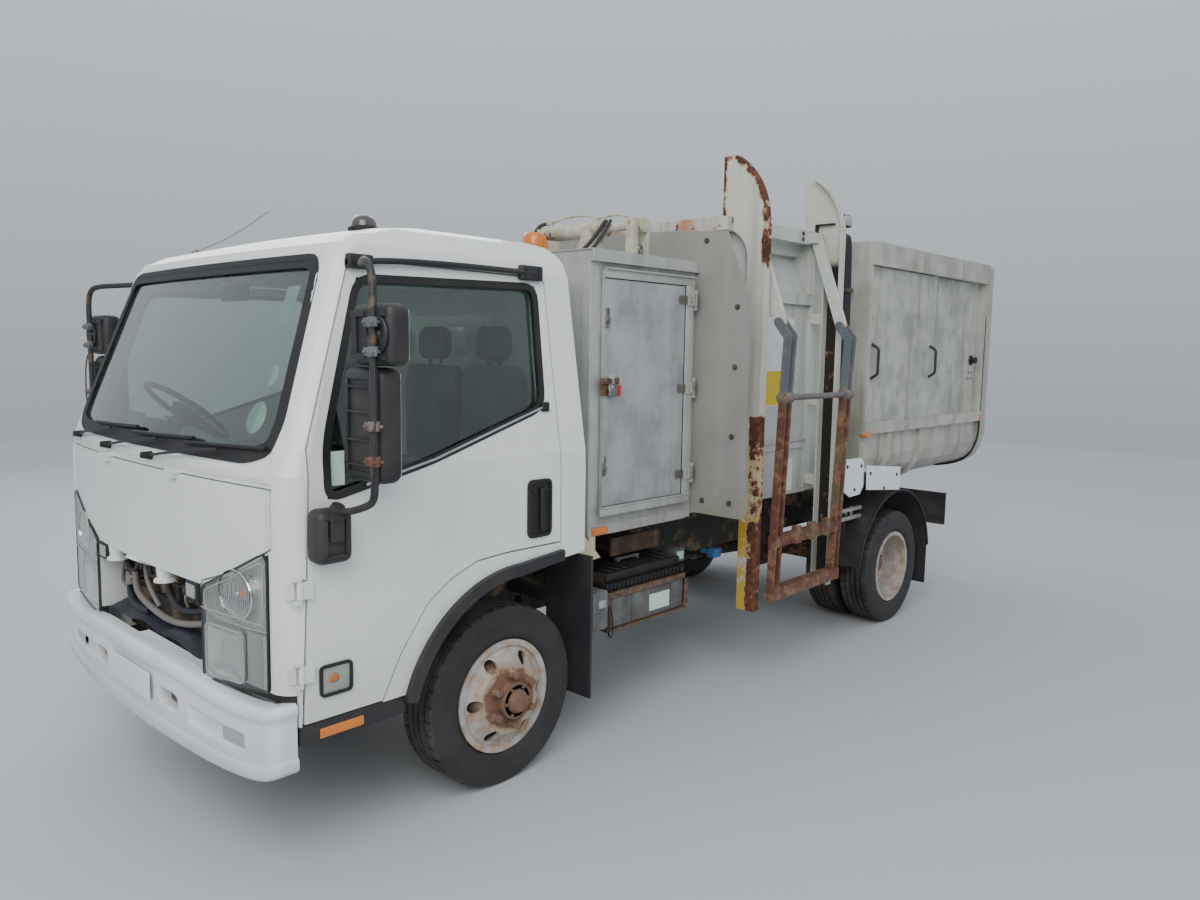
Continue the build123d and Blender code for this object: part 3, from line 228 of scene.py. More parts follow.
def moulded(name, colour, rough=0.5, dirt=0.35, grainScale=420, coat=0.0):
    # moulded plastic or rubber with a fine grain and dust in it
    finish = Finish(name, Coat_Weight=coat)
    dust = finish.noise(5, 7, 0.65).fade(0.42, 0.75) * dirt
    shade = finish.mix(dust, colour, tone(*mud))
    grain = finish.noise(grainScale, 2, 0.5)
    return finish.feed(Base_Color=shade, Roughness=(rough + dust * 0.5 + grain * 0.08).least(1.0),
                       Normal=finish.bump(grain, 0.0004, 0.35))


def seeThrough(name, colour, rough=0.02, bend=1.42):
    # clear glass or lens with a film of dirt
    finish = Finish(name, Transmission_Weight=1.0, IOR=bend, Coat_Weight=0.6)
    film = finish.noise(3.2, 6, 0.6).fade(0.5, 0.85)
    return finish.feed(Base_Color=finish.mix(film * 0.25, colour, tone(150, 152, 148)),
                       Roughness=rough + film * 0.06)


def polished(name, colour, rough=0.15, wear=0.4):
    # bright metal with a dulling film
    finish = Finish(name, Metallic=1.0)
    film = finish.noise(14, 6, 0.6).fade(0.4, 0.75) * wear
    return finish.feed(Base_Color=finish.mix(film, colour, tone(96, 92, 86)), Roughness=rough + film * 0.4,
                       Normal=finish.bump(finish.noise(160, 2), 0.0003, 0.2))


def arcOf(first, middle, last):
    # centre and radius of the circle through three (x, z) points
    (ax, az), (bx, bz), (cx, cz) = first, middle, last
    d = 2 * (ax * (bz - cz) + bx * (cz - az) + cx * (az - bz))
    ux = ((ax * ax + az * az) * (bz - cz) + (bx * bx + bz * bz) * (cz - az) + (cx * cx + cz * cz) * (az - bz)) / d
    uz = ((ax * ax + az * az) * (cx - bx) + (bx * bx + bz * bz) * (ax - cx) + (cx * cx + cz * cz) * (bx - ax)) / d
    return ux, uz, hypot(ax - ux, az - uz)


def nearArc(finish, arc, width):
    # 1 on a circle about Y, fading to 0 at a width from it
    dx, dz = finish.x - arc[0], finish.z - arc[1]
    return ((dx * dx + dz * dz).alone('SQRT') - arc[2]).alone('ABSOLUTE').fade(width, 0.0)


hornArc = ((1.065, 2.500), (1.012, 2.680), (0.872, 2.826))


def hornRust(finish):
    # rust along the horns' edges, and down the front post
    outer = nearArc(finish, arcOf(*hornArc), 0.045) * finish.z.fade(2.46, 2.50)
    edge = finish.x.fade(1.030, 1.055) * finish.z.fade(2.20, 2.28) * finish.z.fade(2.52, 2.49)
    back = finish.x.fade(0.835, 0.800) * finish.z.fade(2.38, 2.44)
    top = finish.z.fade(2.79, 2.812)
    front = finish.y.fade(-0.1, -0.25)
    patch = finish.z.fade(1.49, 1.45) * finish.z.fade(1.30, 1.34) * finish.x.fade(0.995, 1.015)
    post = finish.z.fade(1.37, 1.31) * finish.x.fade(0.998, 1.022)
    low = finish.z.fade(0.96, 0.88) * finish.x.fade(0.96, 1.05)
    strong = outer.most(edge * 0.9).most(back).most(top)
    return (strong * (0.07 + front * 0.23) + front * (patch * 0.42 + post * 0.24 + low * 0.10)).least(0.36)


def postYellow(finish):
    # old yellow paint on the front post's foot
    peel = finish.noise(11, 7, 0.68).fade(0.60, 0.53)
    return finish.y.fade(-0.1, -0.25) * finish.z.fade(1.00, 0.93) * peel


def postCream(finish):
    return finish.y.fade(-0.1, -0.25) * finish.z.fade(1.36, 1.28) * finish.z.fade(0.93, 1.0) * 0.7


def railGrease(finish):
    # black grease inside the rear rail, where the lift's slide runs
    inside = finish.x.fade(0.9665, 0.9685) * finish.x.fade(1.0565, 1.0545)
    return finish.y.fade(0.40, 0.45) * finish.y.fade(0.5400, 0.5392) * inside * finish.z.fade(2.36, 2.30)


def headerStreaks(finish):
    # orange rust run down the beam over the front wall, on the nearside half
    streak = finish.noise(16, 6, 0.62, (1, 1, 0.15)).fade(0.44, 0.60)
    return finish.z.fade(2.37, 2.43) * finish.y.fade(-0.50, -0.56) * finish.x.fade(0.05, 0.35) * streak * 0.85


def headerRust(finish):
    # more rust at that beam's nearside end
    return finish.z.fade(2.38, 2.42) * finish.y.fade(-0.50, -0.56) * finish.x.fade(0.55, 0.75) * 0.16


def frameFoot(finish):
    # the lift's frame is brown in its lower half
    return finish.z.fade(1.60, 1.50)


def frameBrown(finish):
    return frameFoot(finish) * finish.noise(5, 6, 0.6).fade(0.36, 0.54)


def bowHandles(finish):
    # the doors' bow handles stand out past the sheet
    return (finish.x * finish.x).fade(1.0364, 1.0390)


bodyLook = {"base": (178, 180, 174), "second": (146, 148, 140), "mottle": 0.55, "runs": 0.42,
            "rough": 0.42, "dirtTop": 1.3, "dirtLow": 0.7, "dirt": 0.45, "rustFrom": 0.79, "halo": 0.35}
weatheredLooks = {
    "cabWhite": {"base": (227, 229, 226), "second": (214, 217, 212), "mottle": 0.35, "runs": 0.10,
        "runTone": (168, 164, 150), "coat": 0.6, "rough": 0.24, "dirtTop": 1.0, "dirtLow": 0.5, "dirt": 0.28,
        "rustFrom": 0.86, "halo": 0.3, "specks": 0.10},
    "bumperWhite": {"base": (224, 227, 230), "second": (205, 208, 208), "mottle": 0.35, "runs": 0.12,
        "runTone": (150, 144, 130), "coat": 0.35, "rough": 0.3, "dirtTop": 0.55, "dirtLow": 0.3, "dirt": 0.5,
        "rustFrom": 0.9, "specks": 0.25},
    "hopperGrey": {**bodyLook, "base": (196, 199, 194), "second": (168, 170, 163), "runs": 0.6,
        "rustFrom": 0.74, "over": ((headerStreaks, (176, 108, 62)),),
        "extra": headerRust},
    "wallGrey": {"base": (160, 158, 151), "second": (140, 140, 134), "mottle": 0.6, "runs": 0.3,
        "runTone": (184, 180, 166), "metal": 0.35, "rough": 0.46, "dirtTop": 1.25, "dirtLow": 0.95, "dirt": 0.5,
        "dirtTone": (128, 124, 92), "rustFrom": 0.85},
    "podAluminium": {"base": (184, 186, 180), "second": (158, 160, 152), "mottle": 0.6, "mottleScale": 5.0,
        "runs": 0.4, "runTone": (130, 132, 116), "metal": 0.3, "rough": 0.4, "dirtTop": 1.3, "dirtLow": 0.95,
        "dirt": 0.35, "rustFrom": 0.88},
    "containerGrey": {**bodyLook, "base": (188, 188, 178), "second": (150, 150, 138), "mottle": 0.7,
        "mottleScale": 4.0, "runs": 0.65, "runTone": (120, 118, 92)},
    "doorGrey": {**bodyLook, "base": (184, 186, 178), "second": (146, 147, 138), "mottle": 0.85,
        "mottleScale": 5.5, "runs": 0.6, "runTone": (126, 124, 100), "over": ((bowHandles, (40, 42, 44)),)},
    "hornWhite": {"base": (206, 205, 194), "second": (184, 184, 170), "mottle": 0.5, "runs": 0.35,
        "rough": 0.45, "dirtTop": 1.0, "dirtLow": 0.4, "dirt": 0.5, "rustFrom": 0.72, "halo": 0.75,
        "rustScale": 16,
        "over": ((postCream, (196, 180, 132)), (postYellow, (186, 152, 56)), (railGrease, (34, 28, 27))),
        "extra": hornRust},
    "armWhite": {"base": (208, 209, 200), "second": (186, 188, 176), "mottle": 0.5, "runs": 0.3, "rough": 0.45,
        "rustFrom": 0.70, "rustScale": 14, "dirt": 0.0, "extra": lambda finish: finish.z.fade(2.06, 1.94) * 0.16},
    "frameRust": {"base": (92, 98, 104), "second": (116, 118, 118), "mottle": 0.6, "runs": 0.3,
        "runTone": (96, 84, 74), "rough": 0.5, "dirtTop": 1.2, "dirtLow": 0.4, "dirt": 0.35, "rustFrom": 0.66,
        "halo": 0.35, "rustScale": 13,
        "over": ((frameFoot, (104, 92, 66)), (frameBrown, (100, 62, 50))),
        "extra": lambda finish: finish.z.fade(1.60, 1.45) * 0.05},
    "chassisBlack": {"base": (44, 42, 40), "second": (62, 56, 50), "rough": 0.62, "dirt": 0.65, "dirtTop": 0.95,
        "dirtLow": 0.2, "rustFrom": 0.63, "rustScale": 6, "specks": 0.4},
    "axleBlack": {"base": (46, 43, 41), "second": (70, 62, 54), "rough": 0.6, "dirt": 0.6, "rustFrom": 0.6,
        "rustScale": 12},
    "castIron": {"base": (70, 70, 70), "second": (48, 46, 44), "rough": 0.55, "metal": 0.4, "dirt": 0.5,
        "rustFrom": 0.66},
    "tankGrey": {"base": (92, 92, 92), "second": (70, 70, 68), "rough": 0.5, "dirt": 0.6, "rustFrom": 0.72},
    "exhaustSteel": {"base": (112, 98, 86), "second": (84, 66, 54), "rough": 0.55, "metal": 0.6, "dirt": 0.4,
        "rustFrom": 0.55},
    "trayRust": {"base": (72, 54, 48), "second": (88, 64, 54), "rough": 0.65, "dirt": 0.3, "rustFrom": 0.60,
        "rustScale": 22, "halo": 0.15, "dirtTone": (70, 66, 60)},
    "caseGrey": {"base": (96, 100, 104), "second": (66, 68, 70), "mottle": 0.9, "mottleScale": 16, "runs": 0.5,
        "runTone": (150, 148, 140), "rough": 0.5, "dirt": 0.5, "rustFrom": 0.9},
    "creamPlate": {"base": (208, 198, 166), "second": (188, 176, 144), "mottle": 0.5, "rough": 0.45,
        "dirt": 0.2, "rustFrom": 0.82},
    "plateWhite": {"base": (232, 236, 240), "second": (214, 220, 224), "mottle": 0.3, "runs": 0.06,
        "rough": 0.3, "dirtTop": 1.0, "dirtLow": 0.85, "dirt": 0.12, "rustFrom": 0.95, "specks": 0.1},
    "mirrorArmBlack": {"base": (40, 40, 42), "second": (54, 50, 48), "mottle": 0.4, "runs": 0.1, "rough": 0.42,
        "dirt": 0.2, "rustFrom": 0.655, "rustScale": 11, "halo": 0.25},
    "lampSilver": {"base": (190, 191, 188), "second": (168, 169, 164), "mottle": 0.5, "runs": 0.1,
        "metal": 0.25, "rough": 0.3, "dirt": 0.0, "rustFrom": 0.95, "coat": 0.4},
    "frameAluminium": {"base": (188, 190, 186), "second": (164, 166, 160), "mottle": 0.5, "mottleScale": 7,
        "runs": 0.45, "runTone": (142, 144, 132), "metal": 0.35, "rough": 0.38, "dirtTop": 1.15,
        "dirtLow": 0.95, "dirt": 0.3, "rustFrom": 0.9},
    "panelAluminium": {"base": (176, 179, 180), "second": (138, 141, 142), "mottle": 0.8, "mottleScale": 4.2,
        "runs": 0.35, "runTone": (196, 198, 196), "metal": 0.3, "rough": 0.42, "dirtTop": 1.3, "dirtLow": 1.0,
        "dirt": 0.3, "rustFrom": 0.9, "specks": 0.4},
    "creamAlgae": {"base": (206, 202, 184), "second": (160, 158, 128), "mottle": 0.8, "mottleScale": 9,
        "runs": 0.3, "rough": 0.5, "dirt": 0.0, "rustFrom": 0.64, "rustScale": 13, "halo": 0.5},
    "latchRust": {"base": (70, 58, 52), "second": (92, 72, 60), "mottle": 0.7, "mottleScale": 20, "rough": 0.6,
        "dirt": 0.0, "rustFrom": 0.56, "rustScale": 26, "halo": 0.2},
    "boltDark": {"base": (84, 80, 74), "second": (60, 54, 50), "mottle": 0.5, "rough": 0.5, "metal": 0.4,
        "dirt": 0.1, "rustFrom": 0.6, "rustScale": 20, "halo": 0.2},
    "bayMetal": {"base": (70, 66, 62), "second": (44, 42, 42), "mottle": 0.7, "mottleScale": 14, "metal": 0.3,
        "rough": 0.5, "dirt": 0.4, "rustFrom": 0.62, "rustScale": 15},
}
mouldedLooks = (
    # name, colour, roughness, dirt, grain's scale, coat
    ("plugBlue", (52, 116, 170), 0.4, 0.2, 900),
    ("lensRed", (150, 26, 24), 0.2, 0.2, 600, 0.6),
    ("trimBlack", (38, 38, 40), 0.42, 0.3),
    ("mirrorBlack", (34, 35, 38), 0.45, 0.28),
    ("guardBlack", (44, 45, 48), 0.42, 0.4),
    ("boardBlack", (40, 40, 42), 0.5, 0.5),
    ("sealBlack", (24, 24, 26), 0.5, 0.15),
    ("hoseBlack", (30, 31, 40), 0.5, 0.35, 900),
    ("interiorGrey", (58, 60, 62), 0.6, 0.2),
    ("lampGrey", (150, 152, 148), 0.25, 0.3, 600, 0.5),
    ("lampYellowed", (186, 184, 150), 0.25, 0.2, 600, 0.5),
    ("lampFog", (150, 160, 166), 0.16, 0.25, 600, 0.8),
    ("lensAmber", (214, 120, 34), 0.2, 0.1, 600, 0.6),
    ("hosePale", (118, 112, 108), 0.55, 0.4, 900),
    ("stickerPale", (196, 222, 208), 0.35, 0.15, 900),
    ("stickerGreen", (70, 120, 84), 0.35, 0.15, 900),
    ("domeSmoke", (70, 60, 62), 0.15, 0.15, 900, 0.8),
    ("visorPale", (150, 148, 140), 0.7, 0.1),
    ("interiorDark", (34, 34, 36), 0.5, 0.1),
    ("signWhite", (226, 230, 232), 0.3, 0.12, 900, 0.3),
    ("signYellow", (226, 196, 38), 0.3, 0.12, 900, 0.3),
    ("tagRed", (190, 40, 36), 0.35, 0.1, 900),
    ("cowlBlack", (36, 40, 50), 0.5, 0.35),
)
clearLooks = (
    # name, colour, roughness, index of refraction
    ("glassTint", (196, 212, 206)),
    ("lensClear", (244, 246, 244), 0.03, 1.12),
)
polishedLooks = (
    # name, colour, roughness, wear
    ("steelBright", (196, 196, 196)),
    ("steelDull", (150, 148, 144), 0.35, 0.7),
    ("mirrorGlass", (214, 218, 220), 0.03, 0.12),
    ("lampChrome", (222, 222, 220), 0.12, 0.2),
    ("lampFlute", (206, 208, 206), 0.18, 0.2),
)
finishes = {name: weathered(name, look) for name, look in weatheredLooks.items()}
for make, looks in ((moulded, mouldedLooks), (seeThrough, clearLooks), (polished, polishedLooks)):
    for name, shade, *rest in looks:
        finishes[name] = make(name, tone(*shade), *rest)

wheelLook = {"rim": tone(176, 172, 164), "disc": tone(150, 130, 112), "hub": 0.105, "ring": 0.165}


def fromAxis(finish, centreY):
    # distance from a wheel's axis
    dy, dz = finish.y - centreY, finish.z - wheelHeight
    return (dy * dy + dz * dz).alone('SQRT')


def wheelFinish(name, centreY, look, rustiness):
    # steel wheel: pale rim, rust that thickens towards the hub, brake dust in the holes
    finish = Finish(name)
    reach = fromAxis(finish, centreY)
    grain = finish.noise(19, 7, 0.65)
    colour = finish.mix(grain.fade(0.4, 0.66) * 0.6, look["rim"], tone(122, 112, 102))
    colour = finish.mix(reach.fade(look["ring"] + 0.03, look["ring"] - 0.04) * 0.55, colour, look["disc"])
    bite = grain + reach.fade(look["ring"], look["hub"]) * rustiness + reach.fade(0.125, 0.10) * 0.2
    rust = bite.fade(0.58, 0.74)
    colour = finish.mix(bite.fade(0.46, 0.6) * 0.5, colour, rustTones["stain"])
    colour = finish.mix(rust * 0.72, colour, rustColour(finish))
    height = rust * (finish.noise(150, 4, 0.7) - 0.7)
    return finish.feed(Base_Color=colour, Roughness=(0.42 + grain * 0.2 + rust * 0.35).least(1.0),
                       Normal=finish.bump(height, 0.0012, 0.8))


finishes["wheelFront"] = wheelFinish("wheelFront", axleY, wheelLook, 0.26)
finishes["wheelRear"] = wheelFinish("wheelRear", axleY + rearAxle, wheelLook, 0.12)


def tyreFinish(name, centreY):
    # worn rubber: dust on the walls, and more of it on the tread
    finish = Finish(name)
    reach = fromAxis(finish, centreY)
    dust = finish.noise(7, 7, 0.65).fade(0.35, 0.75)
    colour = finish.mix(dust * 0.35, tone(38, 38, 39), tone(82, 78, 72))
    colour = finish.mix(reach.fade(0.362, 0.375) * dust * 0.5, colour, tone(96, 90, 80))
    scuffs = finish.noise(60, 4, 0.6)
    return finish.feed(Base_Color=colour, Roughness=(0.62 + dust * 0.25).least(1.0),
                       Normal=finish.bump(scuffs, 0.0006, 0.6))


finishes["tyreFront"] = tyreFinish("tyreFront", axleY)
finishes["tyreRear"] = tyreFinish("tyreRear", axleY + rearAxle)


def clothFinish(name, base, thread):
    # seat cloth: a fine weave over slow shade changes
    finish = Finish(name, Sheen_Weight=0.3, Sheen_Roughness=0.5)
    wide = finish.add('ShaderNodeTexWave', {"bands_direction": 'X'}, {"Vector": finish.place, "Scale": 130.0})
    tall = finish.add('ShaderNodeTexWave', {"bands_direction": 'Z'}, {"Vector": finish.place, "Scale": 130.0})
    weave = wide * tall
    shade = finish.noise(4, 5, 0.6).fade(0.4, 0.7)
    colour = finish.mix(weave * 0.2 + shade * 0.5, base, thread)
    return finish.feed(Base_Color=colour, Roughness=0.85 + weave * 0.1, Normal=finish.bump(weave, 0.0006, 0.5))


finishes["seatCloth"] = clothFinish("seatCloth", tone(70, 72, 74), tone(104, 104, 102))

dressing = {
    "cabWhite": ("cab_shell", "front_lid", "cab_door_left", "cab_door_right"), "bumperWhite": ("bumper",),
    "hopperGrey": ("hopper_shell", "header_beam"), "wallGrey": ("front_wall",),
    "podAluminium": ("pod_shell", "pod_door"), "containerGrey": ("container", "tailgate"),
    "doorGrey": ("side_door_front_left", "side_door_front_right", "side_door_rear_left",
                 "side_door_rear_right"),
    "hornWhite": ("lift_rails",), "armWhite": ("lift_arms",), "frameRust": ("lift_frame",),
    "chassisBlack": ("chassis_frame", "leaf_springs"),
    "axleBlack": ("front_axle", "rear_axle", "propeller_shaft"),
    "castIron": ("engine", "left_knuckle", "right_knuckle"), "tankGrey": ("fuel_tank",),
    "exhaustSteel": ("exhaust",), "trayRust": ("battery_box",), "trimBlack": ("cab_trim",),
    "mirrorBlack": ("mirrors_left", "mirrors_right", "radiator"), "guardBlack": ("mudguards",),
    "boardBlack": ("tail_board",), "hoseBlack": ("hoses",),
    "glassTint": ("cab_glass", "cab_door_glass_left", "cab_door_glass_right"), "lensClear": ("headlamps",),
    "creamAlgae": ("roof_cylinder",), "plateWhite": ("side_plates",), "interiorGrey": ("cab_interior",),
    "wheelFront": ("front_left_wheel", "front_right_wheel"),
    "wheelRear": ("rear_left_wheels", "rear_right_wheels"),
    "tyreFront": ("front_left_tyre", "front_right_tyre"), "tyreRear": ("rear_left_tyres", "rear_right_tyres"),
}
for finishName, members in dressing.items():
    for member in members:
        for holder in nodes[member].material_slots:
            holder.material = finishes[finishName]
print("CAD nodes dressed")


def floorAndSky(look):
    bpy.ops.mesh.primitive_plane_add(size=look["floor"], location=(0, 0, 0))
    floor = bpy.context.object
    finish = Finish("floorPale")
    worn = finish.noise(0.8, 5)
    floor.data.materials.append(finish.feed(Base_Color=finish.mix(worn * 0.15, look["floorTone"],
                                                                  (0.45, 0.46, 0.47, 1)),
                                            Roughness=0.6 + worn * 0.2))
    world = bpy.data.worlds.new("studio")
    bpy.context.scene.world = world
    world.use_nodes = True
    tree = world.node_tree
    place = tree.nodes.new('ShaderNodeTexCoord')
    split = tree.nodes.new('ShaderNodeSeparateXYZ')
    rise = tree.nodes.new('ShaderNodeMapRange')
    sky = tree.nodes.new('ShaderNodeMix')
    sky.data_type = 'RGBA'
    sky.inputs[6].default_value, sky.inputs[7].default_value = look["horizon"], look["sky"]
    rise.inputs["From Min"].default_value, rise.inputs["From Max"].default_value = -0.1, 0.45
    tree.links.new(place.outputs["Generated"], split.inputs[0])
    tree.links.new(split.outputs[2], rise.inputs[0])
    tree.links.new(rise.outputs[0], sky.inputs[0])
    ground = tree.nodes["Background"]
    ground.inputs[1].default_value = look["skyPower"]
    tree.links.new(sky.outputs[2], ground.inputs[0])


floorAndSky(stage)
print("stage set")


# ---- shaping helpers

def deselectAll():
    if bpy.context.object and bpy.context.object.mode != 'OBJECT':
        bpy.ops.object.mode_set(mode='OBJECT')
    bpy.ops.object.select_all(action='DESELECT')


def hold(piece):
    # makes one piece the selected and active one
    deselectAll()
    piece.select_set(True)
    bpy.context.view_layer.objects.active = piece
    return piece


def bake(piece):
    # puts a piece's place into its mesh
    hold(piece)
    bpy.ops.object.transform_apply(location=True, rotation=True, scale=True)
    return piece


def slab(low, high):
    # block between two corners, places along the truck given from the front axle
    deselectAll()
    middle = [(a + b) / 2 for a, b in zip(low, high)]
    bpy.ops.mesh.primitive_cube_add(size=1, location=(middle[0], middle[1] + axleY, middle[2]),
                                    scale=[abs(b - a) for a, b in zip(low, high)])
    return bake(bpy.context.object)


def block(low, high, width, segments=2):
    # block with round edges
    return soften(slab(low, high), width, segments)


def rod(start, end, radius, sides=20, taper=None):
    # round bar between two points, or a cone when its end has another radius
    deselectAll()
    a, b = Vector(start), Vector(end)
    run = b - a
    bpy.ops.mesh.primitive_cone_add(vertices=sides, radius1=radius, radius2=radius if taper is None else taper,
                                    depth=run.length, location=(a + b) / 2 + Vector((0, axleY, 0)),
                                    rotation=run.to_track_quat('Z', 'Y').to_euler())
    return bake(bpy.context.object)


def ball(place, radius, stretch=(1, 1, 1), sides=20):
    deselectAll()
    bpy.ops.mesh.primitive_uv_sphere_add(segments=sides, ring_count=sides // 2, radius=radius,
                                         location=(place[0], place[1] + axleY, place[2]), scale=stretch)
    return bake(bpy.context.object)


outwards = ("normals_make_consistent", {"inside": False})


def edit(piece, *jobs):
    # runs edit operators one after another, each on all of a piece
    hold(piece)
    bpy.ops.object.mode_set(mode='EDIT')
    for job, settings in jobs:
        bpy.ops.mesh.select_all(action='SELECT')
        getattr(bpy.ops.mesh, job)(**settings)
    bpy.ops.object.mode_set(mode='OBJECT')
    return piece


def outlineOf(places, fill='NGON'):
    # flat closed outline through places of the row frame
    deselectAll()
    bpy.ops.mesh.primitive_circle_add(vertices=len(places), radius=1, fill_type=fill)
    piece = bpy.context.object
    for corner, place in zip(piece.data.vertices, places):
        corner.co = place
    return piece


def sketch(points, way):
    # flat outline through points, pushed out into a solid
    piece = outlineOf([(x, y + axleY, z) for x, y, z in points])
    return edit(piece, push(*way), outwards)


def turned(profile, centre, axis, steps=64):
    # closed outline of (along, radius) points spun round an axis through centre, along the axis given
    middle, turn = Vector((centre[0], centre[1] + axleY, centre[2])), Vector(axis).normalized()
    side = turn.orthogonal().normalized()
    piece = outlineOf([middle + turn * reach + side * radius for reach, radius in profile], 'NOTHING')
    return edit(piece, ("spin", {"steps": steps, "angle": 2 * pi, "center": middle, "axis": turn}),
                ("remove_doubles", {"threshold": 0.00002}), outwards)


def curveAlong(name, places, radius, smooth=True, turns=3, steps=6):
    # round curve; the places are the control points of its spline
    line = bpy.data.curves.new(name, 'CURVE')
    line.dimensions = '3D'
    spline = line.splines.new('NURBS' if smooth else 'POLY')
    spline.points.add(len(places) - 1)
    for point, place in zip(spline.points, places):
        point.co = (place[0], place[1] + axleY, place[2], 1)
    if smooth:
        spline.order_u = 3
        spline.use_endpoint_u = True
    line.bevel_depth, line.bevel_resolution, line.resolution_u = radius, turns, steps
    line.use_fill_caps = True
    piece = bpy.data.objects.new(name, line)
    bpy.context.scene.collection.objects.link(piece)
    return piece


def pipe(points, radius, smooth=True, turns=3):
    # tube along a route, as a mesh
    hold(curveAlong("route", points, radius, smooth, turns))
    bpy.ops.object.convert(target='MESH')
    return bpy.context.object


def work(piece, pick, *jobs):
    # picks faces by their middle and normal, then runs edit operators on them one after another
    hold(piece)
    for vertex in piece.data.vertices:
        vertex.select = False
    for edge in piece.data.edges:
        edge.select = False
    for face in piece.data.polygons:
        place = Vector((face.center[0], face.center[1] - axleY, face.center[2]))
        face.select = bool(pick(place, face.normal))
    bpy.ops.object.mode_set(mode='EDIT')
    bpy.ops.mesh.select_mode(type='FACE')
    for job, settings in jobs:
        getattr(bpy.ops.mesh, job)(**settings)
    bpy.ops.object.mode_set(mode='OBJECT')
    return piece


def inset(width, depth=0.0):
    return "inset", {"thickness": width, "depth": depth}


def push(x, y, z):
    return "extrude_region_move", {"TRANSFORM_OT_translate": {"value": (x, y, z)}}


def modified(piece, kind, **settings):
    # applies one modifier
    hold(piece)
    change = piece.modifiers.new("change", kind)
    for setting, value in settings.items():
        setattr(change, setting, value)
    bpy.ops.object.modifier_apply(modifier=change.name)
    return piece


def soften(piece, width, segments=2):
    # rounds the edges between faces that meet at more than 32 degrees
    return modified(piece, 'BEVEL', width=width, segments=segments, angle_limit=radians(32))


def rounded(piece, levels=2):
    return modified(piece, 'SUBSURF', levels=levels, render_levels=levels)


def thicken(piece, depth):
    # gives a sheet its thickness behind its face
    return modified(piece, 'SOLIDIFY', thickness=depth, offset=-1)


def joined(pieces):
    deselectAll()
    for piece in pieces:
        piece.select_set(True)
    bpy.context.view_layer.objects.active = pieces[0]
    bpy.ops.object.join()
    return bpy.context.object


def twin(piece, shift=(0, 0, 0)):
    # copy with a mesh of its own, moved by shift
    other = piece.copy()
    other.data = piece.data.copy()
    bpy.context.scene.collection.objects.link(other)
    other.data.transform(Matrix.Translation(shift))
    return other


def patch(columns, rows, lay):
    # sheet of columns by rows faces, each corner put in place by lay(u, v) with u and v from 0 to 1
    deselectAll()
    bpy.ops.mesh.primitive_grid_add(x_subdivisions=columns, y_subdivisions=rows, size=1)
    piece = bpy.context.object
    for vertex in piece.data.vertices:
        x, y, z = lay(vertex.co[0] + 0.5, vertex.co[1] + 0.5)
        vertex.co = (x, y + axleY, z)
    return piece


def faced(piece, ahead):
    # turns a sheet's faces so that most of them look along ahead
    total = sum((face.normal.dot(Vector(ahead)) * face.area for face in piece.data.polygons))
    return edit(piece, ("flip_normals", {})) if total < 0 else piece


def sheet(columns, rows, lay, ahead, depth):
    return thicken(faced(patch(columns, rows, lay), ahead), depth)


def bolts(places, facing, radius=0.010, height=0.006):
    # washer and hexagon head at each place, standing out along facing
    parts = []
    for place in places:
        start, out = Vector(place), Vector(facing).normalized()
        parts.append(rod(start, start + out * height * 0.35, radius * 1.45, 16))
        parts.append(rod(start + out * height * 0.35, start + out * height, radius, 6))
    return joined(parts)


def keep(piece, name, body, finish, smooth=38):
    # names a finished piece, or a list of parts that it joins, dresses it and hangs it on its body
    if isinstance(piece, list):
        piece = joined(piece)
    hold(piece)
    bpy.ops.object.shade_smooth_by_angle(angle=radians(smooth))
    piece.name = piece.data.name = name
    piece.data.materials.clear()
    piece.data.materials.append(finishes[finish])
    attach(piece, body)
    return piece


# ---- the cab's skin, as heights and the half width and front line there

cabLines = {"height": (0.559, 1.30, 1.385, 1.435, 2.11, 2.16, 2.20),
            "middle": (-1.066, -1.061, -1.054, -1.038, -0.765, -0.732, -0.660),
            "corner": (-1.006, -1.001, -0.994, -0.979, -0.735, -0.700, -0.622),
            "side": (-0.930, -0.926, -0.916, -0.901, -0.680, -0.648, -0.566),
            "half": (1.020, 1.020, 1.017, 1.008, 0.905, 0.889, 0.860), "cornerWidth": 0.110}


def between(line, z):
    heights = cabLines["height"]
    n = max(0, min(len(heights) - 2, sum(h < z for h in heights) - 1))
    share = (z - heights[n]) / (heights[n + 1] - heights[n])
    return cabLines[line][n] * (1 - share) + cabLines[line][n + 1] * share


def sideX(z):
    return between("half", z)


def frontY(x, z):
    # front face of the cab at x and z, round the corner to the side
    half, middle, corner, side = (between(k, z) for k in ("half", "middle", "corner", "side"))
    cut, x = half - cabLines["cornerWidth"], abs(x)
    if x <= cut:
        return middle + (corner - middle) * (x / cut) ** 2
    share = min((x - cut) / cabLines["cornerWidth"], 1.0)
    return corner + (side - corner) * (1 - (1 - share ** 2) ** 0.5)


def roundedOutline(corners, radius, steps=5, spacing=0.09):
    # outline of 2-D corners with round corners and evenly divided sides
    out = []
    count = len(corners)
    for n, (x, z) in enumerate(corners):
        before, after = Vector(corners[n - 1]), Vector(corners[(n + 1) % count])
        here = Vector((x, z))
        a, b = (before - here).normalized(), (after - here).normalized()
        reach = min(radius, (before - here).length * 0.45, (after - here).length * 0.45)
        start, end = here + a * reach, here + b * reach
        for k in range(steps + 1):
            t = k / steps
            out.append(tuple(start * (1 - t) ** 2 + here * 2 * t * (1 - t) + end * t ** 2))
        nextCorner = Vector(corners[(n + 1) % count])
        along = nextCorner - end
        reachNext = min(radius, (nextCorner - here).length * 0.45)
        free = (nextCorner - end).length - reachNext
        for k in range(1, int(free / spacing) + 1):
            out.append(tuple(end + along.normalized() * free * k / (int(free / spacing) + 1)))
    return out


